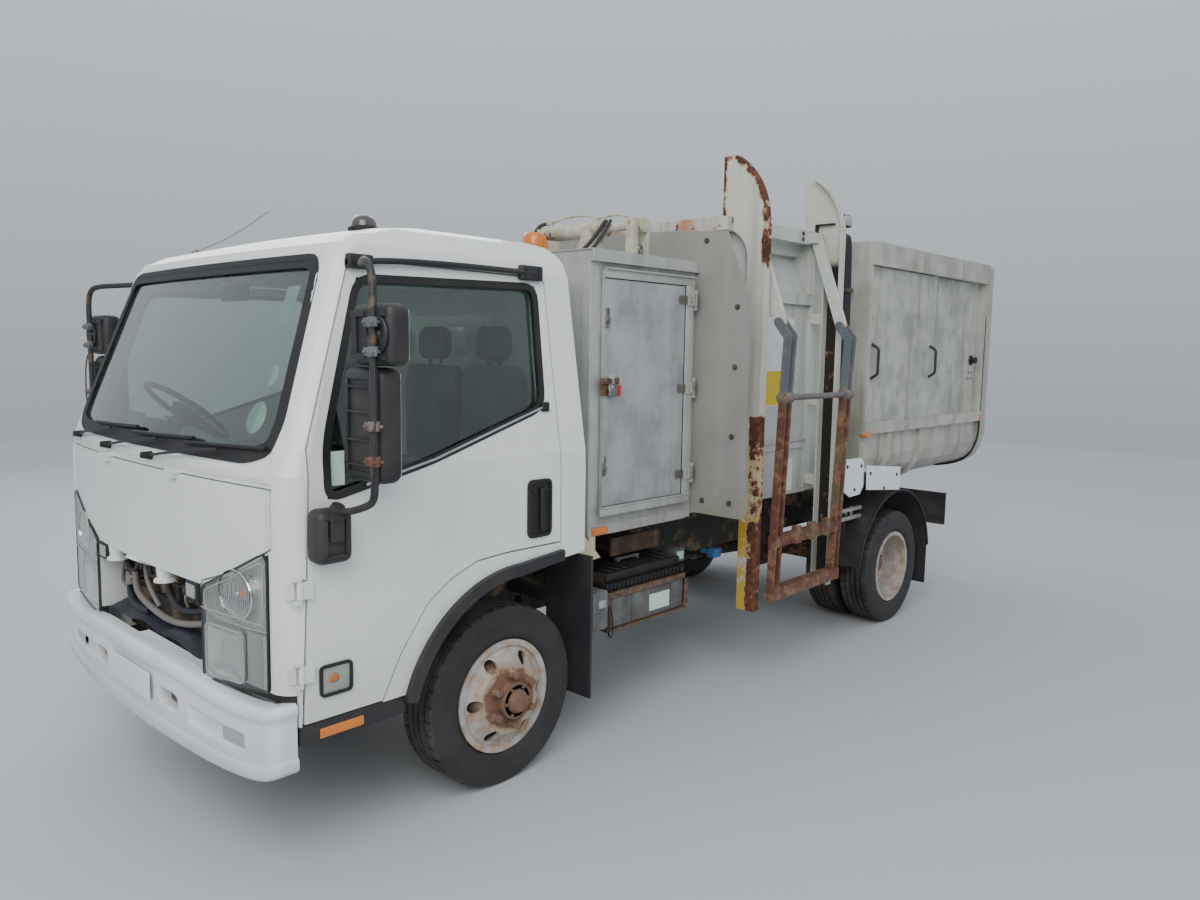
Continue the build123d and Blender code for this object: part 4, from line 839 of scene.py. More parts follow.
def band(corners, radius, width, thickness, lay):
    # flat ring along a rounded outline, laid on a surface by lay(u, v), width inwards
    piece = outlineOf([(u, v, 0) for u, v in roundedOutline(corners, radius)])
    work(piece, lambda place, normal: True, inset(width), ("delete", {"type": 'FACE'}))
    for vertex in piece.data.vertices:
        x, y, z = lay(vertex.co[0], vertex.co[1])
        vertex.co = (x, y + axleY, z)
    modified(piece, 'SOLIDIFY', thickness=thickness, offset=0)
    return edit(piece, outwards)


# ---- tyres

tyre = {"outline": ((0.081, 0.224), (0.081, 0.238), (0.094, 0.246), (0.0985, 0.254), (0.1015, 0.262),
                    (0.1040, 0.264), (0.1050, 0.270), (0.1055, 0.298), (0.1040, 0.318), (0.1052, 0.321),
                    (0.1042, 0.326), (0.1005, 0.346), (0.0965, 0.362), (0.0920, 0.3715), (0.0850, 0.3762),
                    (0.0600, 0.3775), (0.0575, 0.3660), (0.0505, 0.3660), (0.0480, 0.3778),
                    (0.0230, 0.3780), (0.0205, 0.3660), (0.0135, 0.3660), (0.0110, 0.3780)),
        "steps": 200, "notchEvery": 5, "notchDepth": 0.0055}
tyrePlaces = (
    # name, side, middle's distance from the centre line, along, body
    ("front_left_tyre", 1, 0.840, 0, "wheel_front_left"), ("front_right_tyre", -1, 0.840, 0, "wheel_front_right"),
    ("rear_left_tyres", 1, 0.952, rearAxle, "wheels_rear_left"),
    ("rear_left_tyresInner", 1, 0.698, rearAxle, "wheels_rear_left"),
    ("rear_right_tyres", -1, 0.952, rearAxle, "wheels_rear_right"),
    ("rear_right_tyresInner", -1, 0.698, rearAxle, "wheels_rear_right"),
)


def makeTyre(look):
    outline = list(look["outline"]) + [(-u, r) for u, r in reversed(look["outline"])]
    piece = turned(outline, (0, 0, wheelHeight), (1, 0, 0), look["steps"])
    step = 2 * pi / look["steps"]

    def notch(place, normal):
        reach = hypot(place[1], place[2] - wheelHeight)
        turn = int((atan2(place[2] - wheelHeight, place[1]) + pi) / step)
        return reach > 0.367 and abs(place[0]) > 0.058 and turn % look["notchEvery"] == 0

    return work(piece, notch, ("extrude_region_shrink_fatten",
                               {"TRANSFORM_OT_shrink_fatten": {"value": -look["notchDepth"]}}))


firstTyre = makeTyre(tyre)
for name, side, x, y, body in tyrePlaces:
    piece = keep(twin(firstTyre, (side * x, y, 0)), name + "Rubber", body,
                 "tyreRear" if y else "tyreFront", 30)
    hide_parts(name.replace("Inner", ""))
bpy.data.objects.remove(firstTyre)
print("tyres made")


# ---- wheel nuts and hub caps

hubLook = {"nutRadius": 0.0195, "nutHeight": 0.021, "collar": 0.025, "studRing": 0.105, "studs": 6, "firstStud": 30,
           "cap": ((0.0, 0.072), (0.004, 0.076), (0.012, 0.076), (0.016, 0.066), (0.016, 0.050), (0.030, 0.046),
                   (0.044, 0.036), (0.048, 0.0), (0.0, 0.0)), "capBack": 0.016, "capRing": 0.060, "capBolt": 0.007}
wheelPlaces = (
    # side, along, the nuts' face, the cap's face, degrees turned, body, finish
    (1, 0.0, 0.967, 1.012, 0, "wheel_front_left", "wheelFront"),
    (-1, 0.0, 0.967, 1.012, 20, "wheel_front_right", "wheelFront"),
    (1, rearAxle, 0.837, 0.935, 0, "wheels_rear_left", "wheelRear"),
    (-1, rearAxle, 0.837, 0.935, 0, "wheels_rear_right", "wheelRear"),
)


def makeHub(look, side, y, face, capFace, turn, body, finish):
    def across(near, far, ring, degrees, radius, sides):
        # bar from near to far at a place on a ring round the axle
        where = (y + ring * cos(radians(degrees)), wheelHeight + ring * sin(radians(degrees)))
        return rod((side * near, *where), (side * far, *where), radius, sides)

    parts = []
    for n in range(look["studs"]):
        degrees = look["firstStud"] + 360 / look["studs"] * n + turn
        nut = across(face, face + look["nutHeight"], look["studRing"], degrees, look["nutRadius"], 6)
        work(nut, lambda place, normal: abs(normal[0]) > 0.9, inset(0.004, 0.002))
        collar = across(face, face + 0.005, look["studRing"], degrees, look["collar"], 18)
        parts += [soften(nut, 0.0012, 1), collar]
    parts.append(turned(look["cap"], (side * (capFace - look["capBack"]), y, wheelHeight), (side, 0, 0), 40))
    parts += [across(capFace - 0.002, capFace + 0.007, look["capRing"], 60 * n + turn, look["capBolt"], 6)
              for n in range(6)]
    keep(parts, body + "Hub", body, finish)


for place in wheelPlaces:
    makeHub(hubLook, *place)
print("wheel hubs made")


# ---- cab: seals, mirrors, small things

def frontLay(lift):
    # lays an (x, z) outline on the cab's front, lift proud of it
    return lambda u, v: (u, frontY(u, v) - lift, v)


def sideLay(lift, side=1):
    # lays a (y, z) outline on the cab's side
    return lambda u, v: (side * (sideX(v) + lift), u, v)


seals = {"screen": ((-0.780, 1.412), (0.780, 1.412), (0.900, 1.448), (0.922, 1.545), (0.832, 2.122),
                    (-0.832, 2.122), (-0.922, 1.545), (-0.900, 1.448)), "screenWidth": 0.050,
         "window": ((0.166, 1.560), (-0.120, 1.474), (-0.410, 1.387), (-0.858, 1.288), (-0.851, 1.480),
                    (-0.668, 2.052), (0.184, 2.072)), "windowWidth": 0.028,
         "lip": ((-0.764, 1.428), (0.764, 1.428), (0.856, 1.458), (0.890, 1.536), (0.806, 2.106), (-0.806, 2.106),
                 (-0.890, 1.536), (-0.856, 1.458)),
         "belt": ((0.162, 1.571), (-0.120, 1.487), (-0.410, 1.400), (-0.700, 1.336))}
keep(band(seals["screen"], 0.090, seals["screenWidth"], 0.006, frontLay(0.002)), "windscreenSeal", "cab",
     "sealBlack")
keep(band(seals["lip"], 0.05, 0.010, 0.016, frontLay(-0.004)), "windscreenLip", "cab", "sealBlack")
for side, name in sides:
    outer = band(seals["window"], 0.075, seals["windowWidth"], 0.010, sideLay(-0.003, side))
    inner = band(seals["window"], 0.075, 0.016, 0.030, sideLay(-0.016, side))
    keep([outer, inner], "windowSeal" + name, doors[side], "sealBlack")
    belt = pipe([(side * (sideX(z) + 0.004), y, z + 0.004) for y, z in seals["belt"]], 0.0055, False)
    keep(belt, "windowBelt" + name, doors[side], "steelBright")
print("seals made")

mirrorLook = {"tube": ((1.080, -0.850, 1.270), (1.130, -0.835, 1.278), (1.200, -0.815, 1.300),
                       (1.248, -0.812, 1.325), (1.250, -0.812, 1.400), (1.250, -0.812, 1.700),
                       (1.250, -0.812, 1.960), (1.248, -0.811, 2.010), (1.232, -0.808, 2.048),
                       (1.190, -0.800, 2.074), (1.060, -0.726, 2.080), (0.925, -0.650, 2.085)),
              "post": (1.250, -0.812), "clamps": (1.450, 1.560, 1.790, 1.880), "ribs": (1.43, 1.51, 1.60, 1.68),
              "disc": (1.254, 1.842),
              "discOutline": ((0, 0.058), (0.006, 0.062), (0.010, 0.058), (0.010, 0.048), (0.003, 0.044),
                              (0.003, 0.020), (0.010, 0.016), (0.010, 0.0), (0.0, 0.0)),
              "lead": ((1.262, -0.816, 1.755), (1.278, -0.826, 1.72), (1.286, -0.830, 1.62), (1.282, -0.830, 1.50),
                       (1.262, -0.826, 1.40), (1.252, -0.826, 1.33))}


def mirrorSet(side, name, body):
    # the arm, its cup on the door, the main mirror and the wide one above it
    def at(x, y, z):
        return (side * x, y, z)

    arm = pipe([at(*p) for p in mirrorLook["tube"]], 0.0125)
    keep(arm, "mirrorArm" + name, body, "mirrorArmBlack")
    (x, y), clamps = mirrorLook["post"], []
    for z in mirrorLook["clamps"]:
        clamps.append(rod(at(x, y, z - 0.016), at(x, y, z + 0.016), 0.0185, 16))
        clamps.append(slab(at(1.222, -0.830, z - 0.013), at(1.290, -0.822, z + 0.013)))
        clamps.append(rod(at(1.278, -0.838, z), at(1.278, -0.800, z), 0.006, 6))
        clamps.append(rod(at(1.232, -0.838, z), at(1.232, -0.806, z), 0.006, 6))
    keep(soften(joined(clamps), 0.002), "mirrorClamps" + name, body, "frameRust")

    low = block(at(1.045, -0.800, 1.372), at(1.262, -0.705, 1.740), 0.034, 4)
    work(low, lambda p, n: n[1] > 0.95, inset(0.012), push(0, -0.006, 0))
    work(low, lambda p, n: n[1] < -0.95, inset(0.016), push(0, 0.012, 0), inset(0.012), push(0, -0.006, 0))
    ribs = [block(at(1.236, -0.808, 1.400), at(1.244, -0.788, 1.712), 0.002),
            slab(at(1.212, -0.808, 1.400), at(1.220, -0.788, 1.712))]
    ribs += [slab(at(1.062, -0.806, z - 0.003), at(1.205, -0.790, z + 0.003)) for z in mirrorLook["ribs"]]
    keep([low] + ribs, "mainMirror" + name, body, "mirrorBlack")
    glass = block(at(1.066, -0.7085, 1.393), at(1.241, -0.7055, 1.719), 0.0012)
    keep(glass, "mainMirrorGlass" + name, body, "mirrorGlass")

    high = block(at(1.100, -0.800, 1.746), at(1.316, -0.712, 1.938), 0.030, 4)
    work(high, lambda p, n: n[1] > 0.95, inset(0.012), push(0, -0.006, 0))
    x, z = mirrorLook["disc"]
    pieces = [high, turned(mirrorLook["discOutline"], at(x, -0.799, z), (0, -1, 0), 32)]
    for dx, dz in ((0.0, 0.034), (0.030, -0.018), (-0.030, -0.018)):
        pieces.append(rod(at(x + dx, -0.801, z + dz), at(x + dx, -0.8045, z + dz), 0.010, 12))
    for z in (1.775, 1.908):
        pieces.append(slab(at(1.115, -0.808, z - 0.010), at(1.300, -0.798, z + 0.010)))
        pieces.append(slab(at(1.180, -0.811, z - 0.006), at(1.200, -0.798, z + 0.006)))
    pieces.append(slab(at(1.118, -0.806, 1.775), at(1.146, -0.797, 1.908)))
    keep(pieces, "wideMirror" + name, body, "mirrorBlack")
    glass = block(at(1.118, -0.7155, 1.764), at(1.298, -0.7125, 1.920), 0.0012)
    keep(glass, "wideMirrorGlass" + name, body, "mirrorGlass")

    cup = block(at(1.012, -0.925, 1.105), at(1.105, -0.795, 1.285), 0.030, 4)
    work(cup, lambda p, n: n[0] * side > 0.95, inset(0.014), push(-side * 0.008, 0, 0))
    neck = rod(at(1.075, -0.850, 1.262), at(1.092, -0.846, 1.296), 0.030, 20, 0.022)
    boss = block(at(1.100, -0.885, 1.180), at(1.112, -0.835, 1.270), 0.004)
    keep([cup, neck, boss], "mirrorFoot" + name, body, "mirrorBlack")
    lead = pipe([at(*p) for p in mirrorLook["lead"]], 0.0032)
    keep(lead, "mirrorLead" + name, body, "hoseBlack")
    top = block(at(0.905, -0.700, 2.068), at(0.935, -0.600, 2.104), 0.006)
    keep(top, "mirrorTopFoot" + name, body, "mirrorBlack")
    for piece in (arm, clamps[0], low, cup):
        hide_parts("mirrors_left" if side > 0 else "mirrors_right")


for side, name in sides:
    mirrorSet(side, name, doors[side])
print("mirrors made")

wipers = (
    # foot on the cowl and tip on the glass as (x, z)
    ((-0.790, 1.395), (-0.300, 1.462)),
    ((-0.330, 1.388), (0.190, 1.455)),
    ((0.120, 1.385), (0.640, 1.452)),
)
for n, (foot, tip) in enumerate(wipers):
    start = (foot[0], frontY(*foot) - 0.012, foot[1])
    end = (tip[0], frontY(*tip) - 0.030, tip[1])
    middle = (foot[0] * 0.6 + tip[0] * 0.4, frontY(foot[0] * 0.6 + tip[0] * 0.4, foot[1]) - 0.040,
              foot[1] * 0.6 + tip[1] * 0.4 + 0.008)
    parts = [pipe([start, middle, end], 0.0055),
             rod((foot[0], start[1] + 0.012, foot[1]), (foot[0], start[1] - 0.026, foot[1] + 0.004),
                 0.017, 18, 0.012)]
    blade = [(tip[0] + d, frontY(tip[0] + d, tip[1] + 0.012 + d * 0.03) - 0.016, tip[1] + 0.012 + d * 0.03)
             for d in (-0.26, -0.13, 0.0, 0.13, 0.24)]
    parts.append(pipe(blade, 0.0065, False))
    parts.append(pipe([(x, y + 0.008, z) for x, y, z in blade], 0.004, False))
    keep(parts, "wiper" + str(n + 1), "cab", "sealBlack")

cowlLook = {"across": (-0.93, -0.5, 0.0, 0.5, 0.93), "top": 1.404, "foot": 1.362}
cowl = sketch([(x, frontY(x, 1.40) - 0.001, cowlLook["top"]) for x in cowlLook["across"]]
              + [(x, frontY(x, 1.36) - 0.001, cowlLook["foot"]) for x in reversed(cowlLook["across"])],
              (0, -0.005, 0))
work(cowl, lambda p, n: n[1] < -0.5, inset(0.006, 0.002))
keep(cowl, "cowlStrip", "cab", "cabWhite")


# ---- headlamps

lampLook = {"outline": ((0.520, 0.628), (0.720, 0.640), (0.922, 0.664), (0.924, 1.108), (0.905, 1.128),
                        (0.880, 1.124),
                        (0.690, 1.036), (0.520, 0.962)), "divide": 0.868,
            "inner": 0.520, "outer": 0.924, "lows": ((0.520, 0.628), (0.720, 0.640), (0.924, 0.664)),
            "tops": ((0.520, 0.962), (0.690, 1.036), (0.880, 1.124), (0.905, 1.128), (0.924, 1.106)),
            "step": ((0.542, 0.884), (0.905, 0.888), (0.908, 1.090), (0.890, 1.104), (0.690, 1.012),
                     (0.542, 0.950)),
            "square": ((0.538, 0.645), (0.782, 0.660), (0.782, 0.842), (0.538, 0.838)),
            "bowl": (0.742, 0.968), "bowlHeight": 0.84,
            "dish": ((0.012, 0.100), (0.009, 0.103), (0.004, 0.100), (-0.006, 0.080), (-0.012, 0.056),
                     (-0.015, 0.030), (-0.017, 0.0), (-0.020, 0.0), (-0.020, 0.100)),
            "flutes": 24, "firstFlute": 0.546, "fluteStep": 0.0118}


def lampEdge(line, x):
    # height of the lamp's top or foot line at x
    for (x0, z0), (x1, z1) in zip(line, line[1:]):
        if x <= x1:
            return z0 + (z1 - z0) * (x - x0) / (x1 - x0)
    return line[-1][1]


def lampLay(side, lift, margin=0.0):
    # lays the lamp's outline on the cab's nose, lift proud of it
    def lay(u, v):
        inner, outer = lampLook["inner"] + margin, lampLook["outer"] - margin
        x = inner + (outer - inner) * u
        low, high = lampEdge(lampLook["lows"], x) + margin, lampEdge(lampLook["tops"], x) - margin
        z = low + (high - low) * v
        return side * x, frontY(x, max(z, 0.56)) - lift, z
    return lay


def headlamp(side, name):
    ahead = (0, -1, 0)
    lens = sheet(30, 16, lampLay(side, 0.010), ahead, 0.002)
    keep(lens, "lampLens" + name, "cab", "lensClear", 60)
    back = sheet(30, 16, lampLay(side, -0.014, 0.001), ahead, 0.003)
    keep(back, "lampBack" + name, "cab", "lampSilver", 60)
    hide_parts("headlamps")
    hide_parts("headlamps")

    def at(x, z, lift):
        return side * x, frontY(x, z) - lift, z

    x, z = lampLook["bowl"]
    upper = turned(lampLook["dish"], at(x, z, 0.002), (side * 0.10, -1, 0), 48)
    middle = Matrix.Translation((side * x, axleY, z))
    upper.data.transform(middle @ Matrix.Diagonal((1, 1, lampLook["bowlHeight"], 1)) @ middle.inverted())
    keep(upper, "lampUpperBowl" + name, "cab", "lampChrome", 60)

    def hollow(u, v):
        # the lower reflector is a rounded square dish
        x, z = 0.548 + 0.226 * u, 0.655 + 0.170 * v + 0.012 * u
        deep = 0.024 * (sin(pi * u) * sin(pi * v)) ** 0.6
        return side * x, frontY(x, z) - 0.004 + deep, z

    keep(sheet(22, 18, hollow, ahead, 0.002), "lampLowerBowl" + name, "cab", "lampChrome", 80)
    square = band([(side * x, z) for x, z in lampLook["square"]][::side], 0.030, 0.008, 0.010, frontLay(0.004))
    keep(square, "lampLowerFrame" + name, "cab", "lampSilver")
    keep(ball(at(0.778, 0.975, -0.002), 0.022, (1, 0.5, 1.3)), "indicatorBulb" + name, "cab", "lensAmber")
    keep(ball(at(0.742, 0.968, -0.006), 0.014, (1, 1.2, 1)), "mainBulb" + name, "cab", "steelBright")
    flutes = []
    for n in range(lampLook["flutes"]):
        x = lampLook["firstFlute"] + n * lampLook["fluteStep"]
        low, top = lampLook["divide"] + 0.014, lampEdge(lampLook["tops"], x) - 0.026
        flutes.append(pipe([at(x, low, 0.0066), at(x, (low + top) / 2, 0.0068), at(x, top, 0.0066)],
                           0.0021, False, 1))
    keep(flutes, "lampFlutes" + name, "cab", "lampFlute", 80)
    step = band([(side * x, z) for x, z in lampLook["step"]][::side], 0.020, 0.0035, 0.004, frontLay(0.0105))
    keep(step, "lampStep" + name, "cab", "lampSilver")
    divide = ((0.522, 0.886, 0.0105), (0.62, 0.872, 0.0112), (0.75, 0.864, 0.0112), (0.85, 0.866, 0.0112),
              (0.922, 0.872, 0.0105))
    upright = ((0.786, 0.664, 0.010), (0.790, 0.74, 0.010), (0.784, 0.80, 0.010), (0.758, 0.858, 0.010))
    ribs = [pipe([at(*p) for p in divide], 0.0026), pipe([at(*p) for p in upright], 0.0016)]
    keep(ribs, "lampDivide" + name, "cab", "lampGrey")
    strip = sheet(3, 10, lambda u, v: at(0.886 + 0.034 * u, 0.672 + 0.180 * v, 0.002), ahead, 0.003)
    keep(strip, "lampEdge" + name, "cab", "lampYellowed")
    panel = sheet(6, 10, lambda u, v: at(0.794 + 0.088 * u, 0.668 + 0.184 * v, 0.001), ahead, 0.003)
    keep(panel, "sideLamp" + name, "cab", "lampGrey")
    rim = band([(side * x, z) for x, z in lampLook["outline"]][::side], 0.02, 0.0035, 0.016, frontLay(0.003))
    keep(rim, "lampRim" + name, "cab", "trimBlack")
    foot = sheet(20, 2, lambda u, v: at(0.500 + 0.515 * u, 0.634 + 0.034 * v, -0.012), ahead, 0.010)
    keep(foot, "lampFoot" + name, "cab", "sealBlack")


for side, name in sides:
    headlamp(side, name)
print("headlamps made")


# ---- front bumper

bumperLook = {
    "fronts": (-0.933, -0.912, -0.890, -0.868, -0.845, -0.76, -0.68, -0.60, -0.53, -0.461, -0.386, -0.311, -0.265,
               -0.21, -0.11, -0.0375, 0.075, 0.140, 0.190, 0.239, 0.314, 0.389, 0.46, 0.53, 0.60, 0.68,
               0.76, 0.845, 0.868, 0.890, 0.912, 0.933),
    "lows": ((0.0, 0.346), (0.60, 0.350), (0.80, 0.358), (0.92, 0.374), (0.98, 0.392), (1.02, 0.412)),
    "highs": ((0.0, 0.660), (0.35, 0.657), (0.50, 0.644), (0.62, 0.630), (0.75, 0.622), (0.86, 0.626),
              (0.95, 0.636), (1.02, 0.648)),
    "profile": ((0.070, 0.342), (0.022, 0.339), (0.004, 0.343), (0.0, 0.355), (0.0, 0.380), (0.001, 0.397),
                (0.009, 0.403), (0.010, 0.412), (0.010, 0.440), (0.010, 0.458), (0.010, 0.480), (0.010, 0.502),
                (0.010, 0.532), (0.010, 0.560), (0.010, 0.588), (0.004, 0.600), (0.0, 0.612), (0.001, 0.632),
                (0.008, 0.650), (0.024, 0.658), (0.060, 0.659))}


def bumperPath(look):
    # stations round the front from side to side: place and outward direction
    half, corner = 1.018, -1.062
    stations = [((-half, -0.961), (-1, 0)), ((-half, -0.985), (-1, 0)), ((-half, -1.012), (-1, 0))]
    for n in range(1, 6):
        turn = radians(90 * n / 6)
        stations.append(((-half + 0.085 * (1 - cos(turn)), -1.012 - 0.050 * sin(turn)), (-cos(turn), -sin(turn))))
    for x in look["fronts"]:
        stations.append(((x, -1.118 + 0.056 * (x / 0.933) ** 2), (0.12 * x / 0.933, -0.993)))
    return stations + [((-x, y), (-nx, ny)) for (x, y), (nx, ny) in reversed(stations[:8])]


def makeBumper(look):
    stations, profile = bumperPath(look), look["profile"]
    columns, rows = len(stations) - 1, len(profile) - 1

    def lay(u, v):
        (x, y), (nx, ny) = stations[round(u * columns)]
        inwards, z = profile[round(v * rows)]
        return x - nx * inwards, y - ny * inwards, z

    skin = faced(patch(columns, rows, lay), (0, -1, 0))

    def zone(x0, x1, z0, z1):
        return lambda p, n: x0 < p[0] < x1 and z0 < p[2] < z1 and n[1] < -0.8

    for side in (1, -1):
        # a scoop from the vent to the fog lamp, deepest at the lamp
        inner, outer = sorted((side * 0.46, side * 0.845))
        work(skin, zone(inner - 0.001, outer + 0.001, 0.440, 0.532), inset(0.010, -0.004), inset(0.010, -0.016))
        low, high = (0.239, 0.389) if side > 0 else (-0.461, -0.311)
        work(skin, zone(low, high, 0.458, 0.532), inset(0.006, -0.003), push(0, 0.055, 0),
             ("delete", {"type": 'FACE'}))
        low, high = sorted((side * 0.68, side * 0.845))
        work(skin, lambda p, n: low + 0.004 < p[0] < high - 0.004 and 0.456 < p[2] < 0.526 and n[1] < -0.7,
             inset(0.004, 0.0), push(0, 0.030, 0), ("delete", {"type": 'FACE'}))
    work(skin, zone(-0.265, 0.190, 0.440, 0.588), inset(0.012, -0.004), push(0, 0.006, 0))
    for vertex in skin.data.vertices:
        across, z = abs(vertex.co[0]), vertex.co[2]
        low, high = lampEdge(look["lows"], across), lampEdge(look["highs"], across)
        vertex.co[2] = low + (z - 0.339) * (high - low) / 0.320
    rounded(skin, 2)
    thicken(skin, 0.003)
    keep(skin, "bumperSkin", "chassis", "bumperWhite", 50)
    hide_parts("bumper")


makeBumper(bumperLook)
for side, name in sides:
    holder = block((side * 0.674, -1.052, 0.440), (side * 0.850, -1.030, 0.530), 0.008, 3)
    keep(holder, "fogLampBody" + name, "chassis", "sealBlack")
    fog = sheet(8, 4, lambda u, v: (side * (0.692 + 0.136 * u), -1.064 + 0.012 * u - 0.005 * sin(pi * v),
                                    0.456 + 0.050 * v), (0, -1, 0), 0.004)
    keep(fog, "fogLamp" + name, "chassis", "lampFog")
plate = slab((-0.243, -1.1145, 0.452), (0.170, -1.1105, 0.560))
work(plate, lambda p, n: n[1] < -0.9, inset(0.004, 0.0006))
keep(soften(plate, 0.001), "numberPlate", "chassis", "plateWhite")
behind = [slab((side * 0.30, -1.030, 0.40), (side * 0.60, -1.000, 0.60)) for side in (1, -1)]
behind += [slab((0.226, -1.062, 0.440), (0.402, -1.030, 0.548)),
           slab((-0.474, -1.062, 0.440), (-0.298, -1.030, 0.548))]
keep(soften(joined(behind), 0.01), "bumperBack", "chassis", "chassisBlack")
print("bumper made")


# ---- what shows through the missing grille

lugs = ((0.150, 0.905), (-0.345, 0.925))
for n, (x, z) in enumerate(lugs):
    cup = turned(((0.0, 0.030), (0.0, 0.034), (0.048, 0.030), (0.052, 0.040), (0.058, 0.043), (0.064, 0.042),
                  (0.064, 0.026), (0.045, 0.024), (0.0, 0.024)), (x, -1.030, 0.966), (0, 0, -1), 28)
    wing = slab((x - 0.055, -1.045, 0.945), (x + 0.055, -1.012, 0.972))
    keep([cup, soften(wing, 0.006)], "grilleLug" + str(n + 1), "lid", "cabWhite")
bracket = turned(((0.0, 0.058), (0.004, 0.062), (0.010, 0.062), (0.012, 0.040), (0.012, 0.0), (0.0, 0.0)),
                 (-0.080, -1.030, 0.945), (0, -0.5, -1), 28)
keep(bracket, "grilleBracket", "lid", "cabWhite")
for side, name in sides:
    body = block((side * 0.395, -1.058, 0.892), (side * 0.497, -1.000, 0.962), 0.006)
    work(body, lambda p, n: n[1] < -0.9, inset(0.008), push(0, 0.005, 0))
    keep(body, "noseLampBody" + name, "cab", "sealBlack")
    face = block((side * 0.405, -1.060, 0.902), (side * 0.475, -1.052, 0.952), 0.003)
    keep(face, "noseLampLens" + name, "cab", "lampGrey")

engineBay = (
    # route, radius, finish
    (((-0.30, -0.98, 0.860), (-0.25, -1.00, 0.800), (-0.16, -1.01, 0.770), (-0.02, -1.01, 0.745),
      (0.12, -1.01, 0.735), (0.25, -1.00, 0.745), (0.38, -0.99, 0.775), (0.47, -0.98, 0.800)), 0.013, "hosePale"),
    (((-0.20, -0.97, 0.940), (-0.14, -1.00, 0.880), (-0.06, -1.01, 0.820), (0.00, -1.00, 0.765)),
     0.009, "hosePale"),
    (((-0.42, -0.96, 0.900), (-0.33, -0.99, 0.850), (-0.25, -0.99, 0.870), (-0.20, -0.97, 0.940)),
     0.010, "hoseBlack"),
    (((0.05, -0.97, 0.930), (0.08, -1.00, 0.860), (0.15, -1.00, 0.800), (0.26, -0.99, 0.790), (0.40, -0.97, 0.830)),
     0.012, "hoseBlack"),
    (((-0.10, -0.98, 0.900), (0.02, -1.00, 0.870), (0.10, -1.00, 0.890), (0.20, -0.98, 0.870),
      (0.30, -0.97, 0.900)), 0.006, "hoseBlack"),
    (((0.24, -0.98, 0.800), (0.27, -1.01, 0.850), (0.30, -1.01, 0.880), (0.36, -1.00, 0.870), (0.42, -0.98, 0.800)),
     0.007, "hosePale"),
    (((-0.36, -0.98, 0.780), (-0.30, -1.00, 0.740), (-0.20, -1.01, 0.720), (-0.10, -1.00, 0.725)),
     0.016, "hoseBlack"),
    (((-0.45, -0.97, 0.840), (-0.40, -1.00, 0.800), (-0.33, -1.01, 0.790), (-0.28, -1.00, 0.810)),
     0.008, "hosePale"),
    (((0.32, -0.97, 0.930), (0.34, -1.00, 0.900), (0.38, -1.00, 0.850), (0.40, -0.98, 0.790)), 0.008, "hoseBlack"),
)
for n, (route, radius, finish) in enumerate(engineBay):
    keep(pipe(route, radius), "bayLine" + str(n + 1), "cab", finish)
cowling = patch(16, 6, lambda u, v: (-0.47 + 0.94 * u, -1.035 + 0.135 * v, 0.672 + 0.045 * v + 0.018 * sin(pi * u)
                                     + 0.008 * sin(6 * pi * u)))
work(cowling, lambda p, n: abs(abs(p[0]) - 0.21) < 0.09 and -1.01 < p[1] < -0.93, inset(0.012, 0.010),
     inset(0.01, 0.0))
keep(thicken(rounded(faced(cowling, (0, 0, 1)), 1), 0.004), "radiatorCowl", "cab", "cowlBlack")
blocks = (
    # low corner, high corner
    ((-0.46, -0.955, 0.80), (-0.36, -0.90, 0.93)), ((-0.30, -0.950, 0.83), (-0.16, -0.90, 0.95)),
    ((-0.08, -0.950, 0.78), (0.06, -0.88, 0.90)), ((0.14, -0.950, 0.80), (0.26, -0.90, 0.94)),
    ((0.33, -0.950, 0.74), (0.45, -0.90, 0.90)), ((-0.22, -0.945, 0.73), (0.30, -0.90, 0.765)),
)
pieces = []
for low, high in blocks:
    part = block(low, high, 0.008)
    work(part, lambda p, n: n[1] < -0.95, inset(0.014), push(0, -0.012, 0))
    pieces.append(part)
caps = (
    # across, height, radius
    (-0.40, 0.86, 0.026), (0.0, 0.84, 0.032), (0.20, 0.87, 0.024), (0.39, 0.80, 0.028), (-0.23, 0.89, 0.022),
)
for x, z, r in caps:
    outline = ((0.0, r), (0.008, r * 1.05), (0.012, r * 0.8), (0.020, r * 0.75), (0.022, 0.0), (0.0, 0.0))
    pieces.append(turned(outline, (x, -0.965, z), (0, -1, 0), 24))
keep(pieces, "bayUnits", "cab", "bayMetal")
print("nose made")


# ---- doors: handle recess, repeater, rails, belt corner, blank sticker

handleLook = {"low": (0.040, 1.045), "high": (0.172, 1.283), "radius": 0.030}


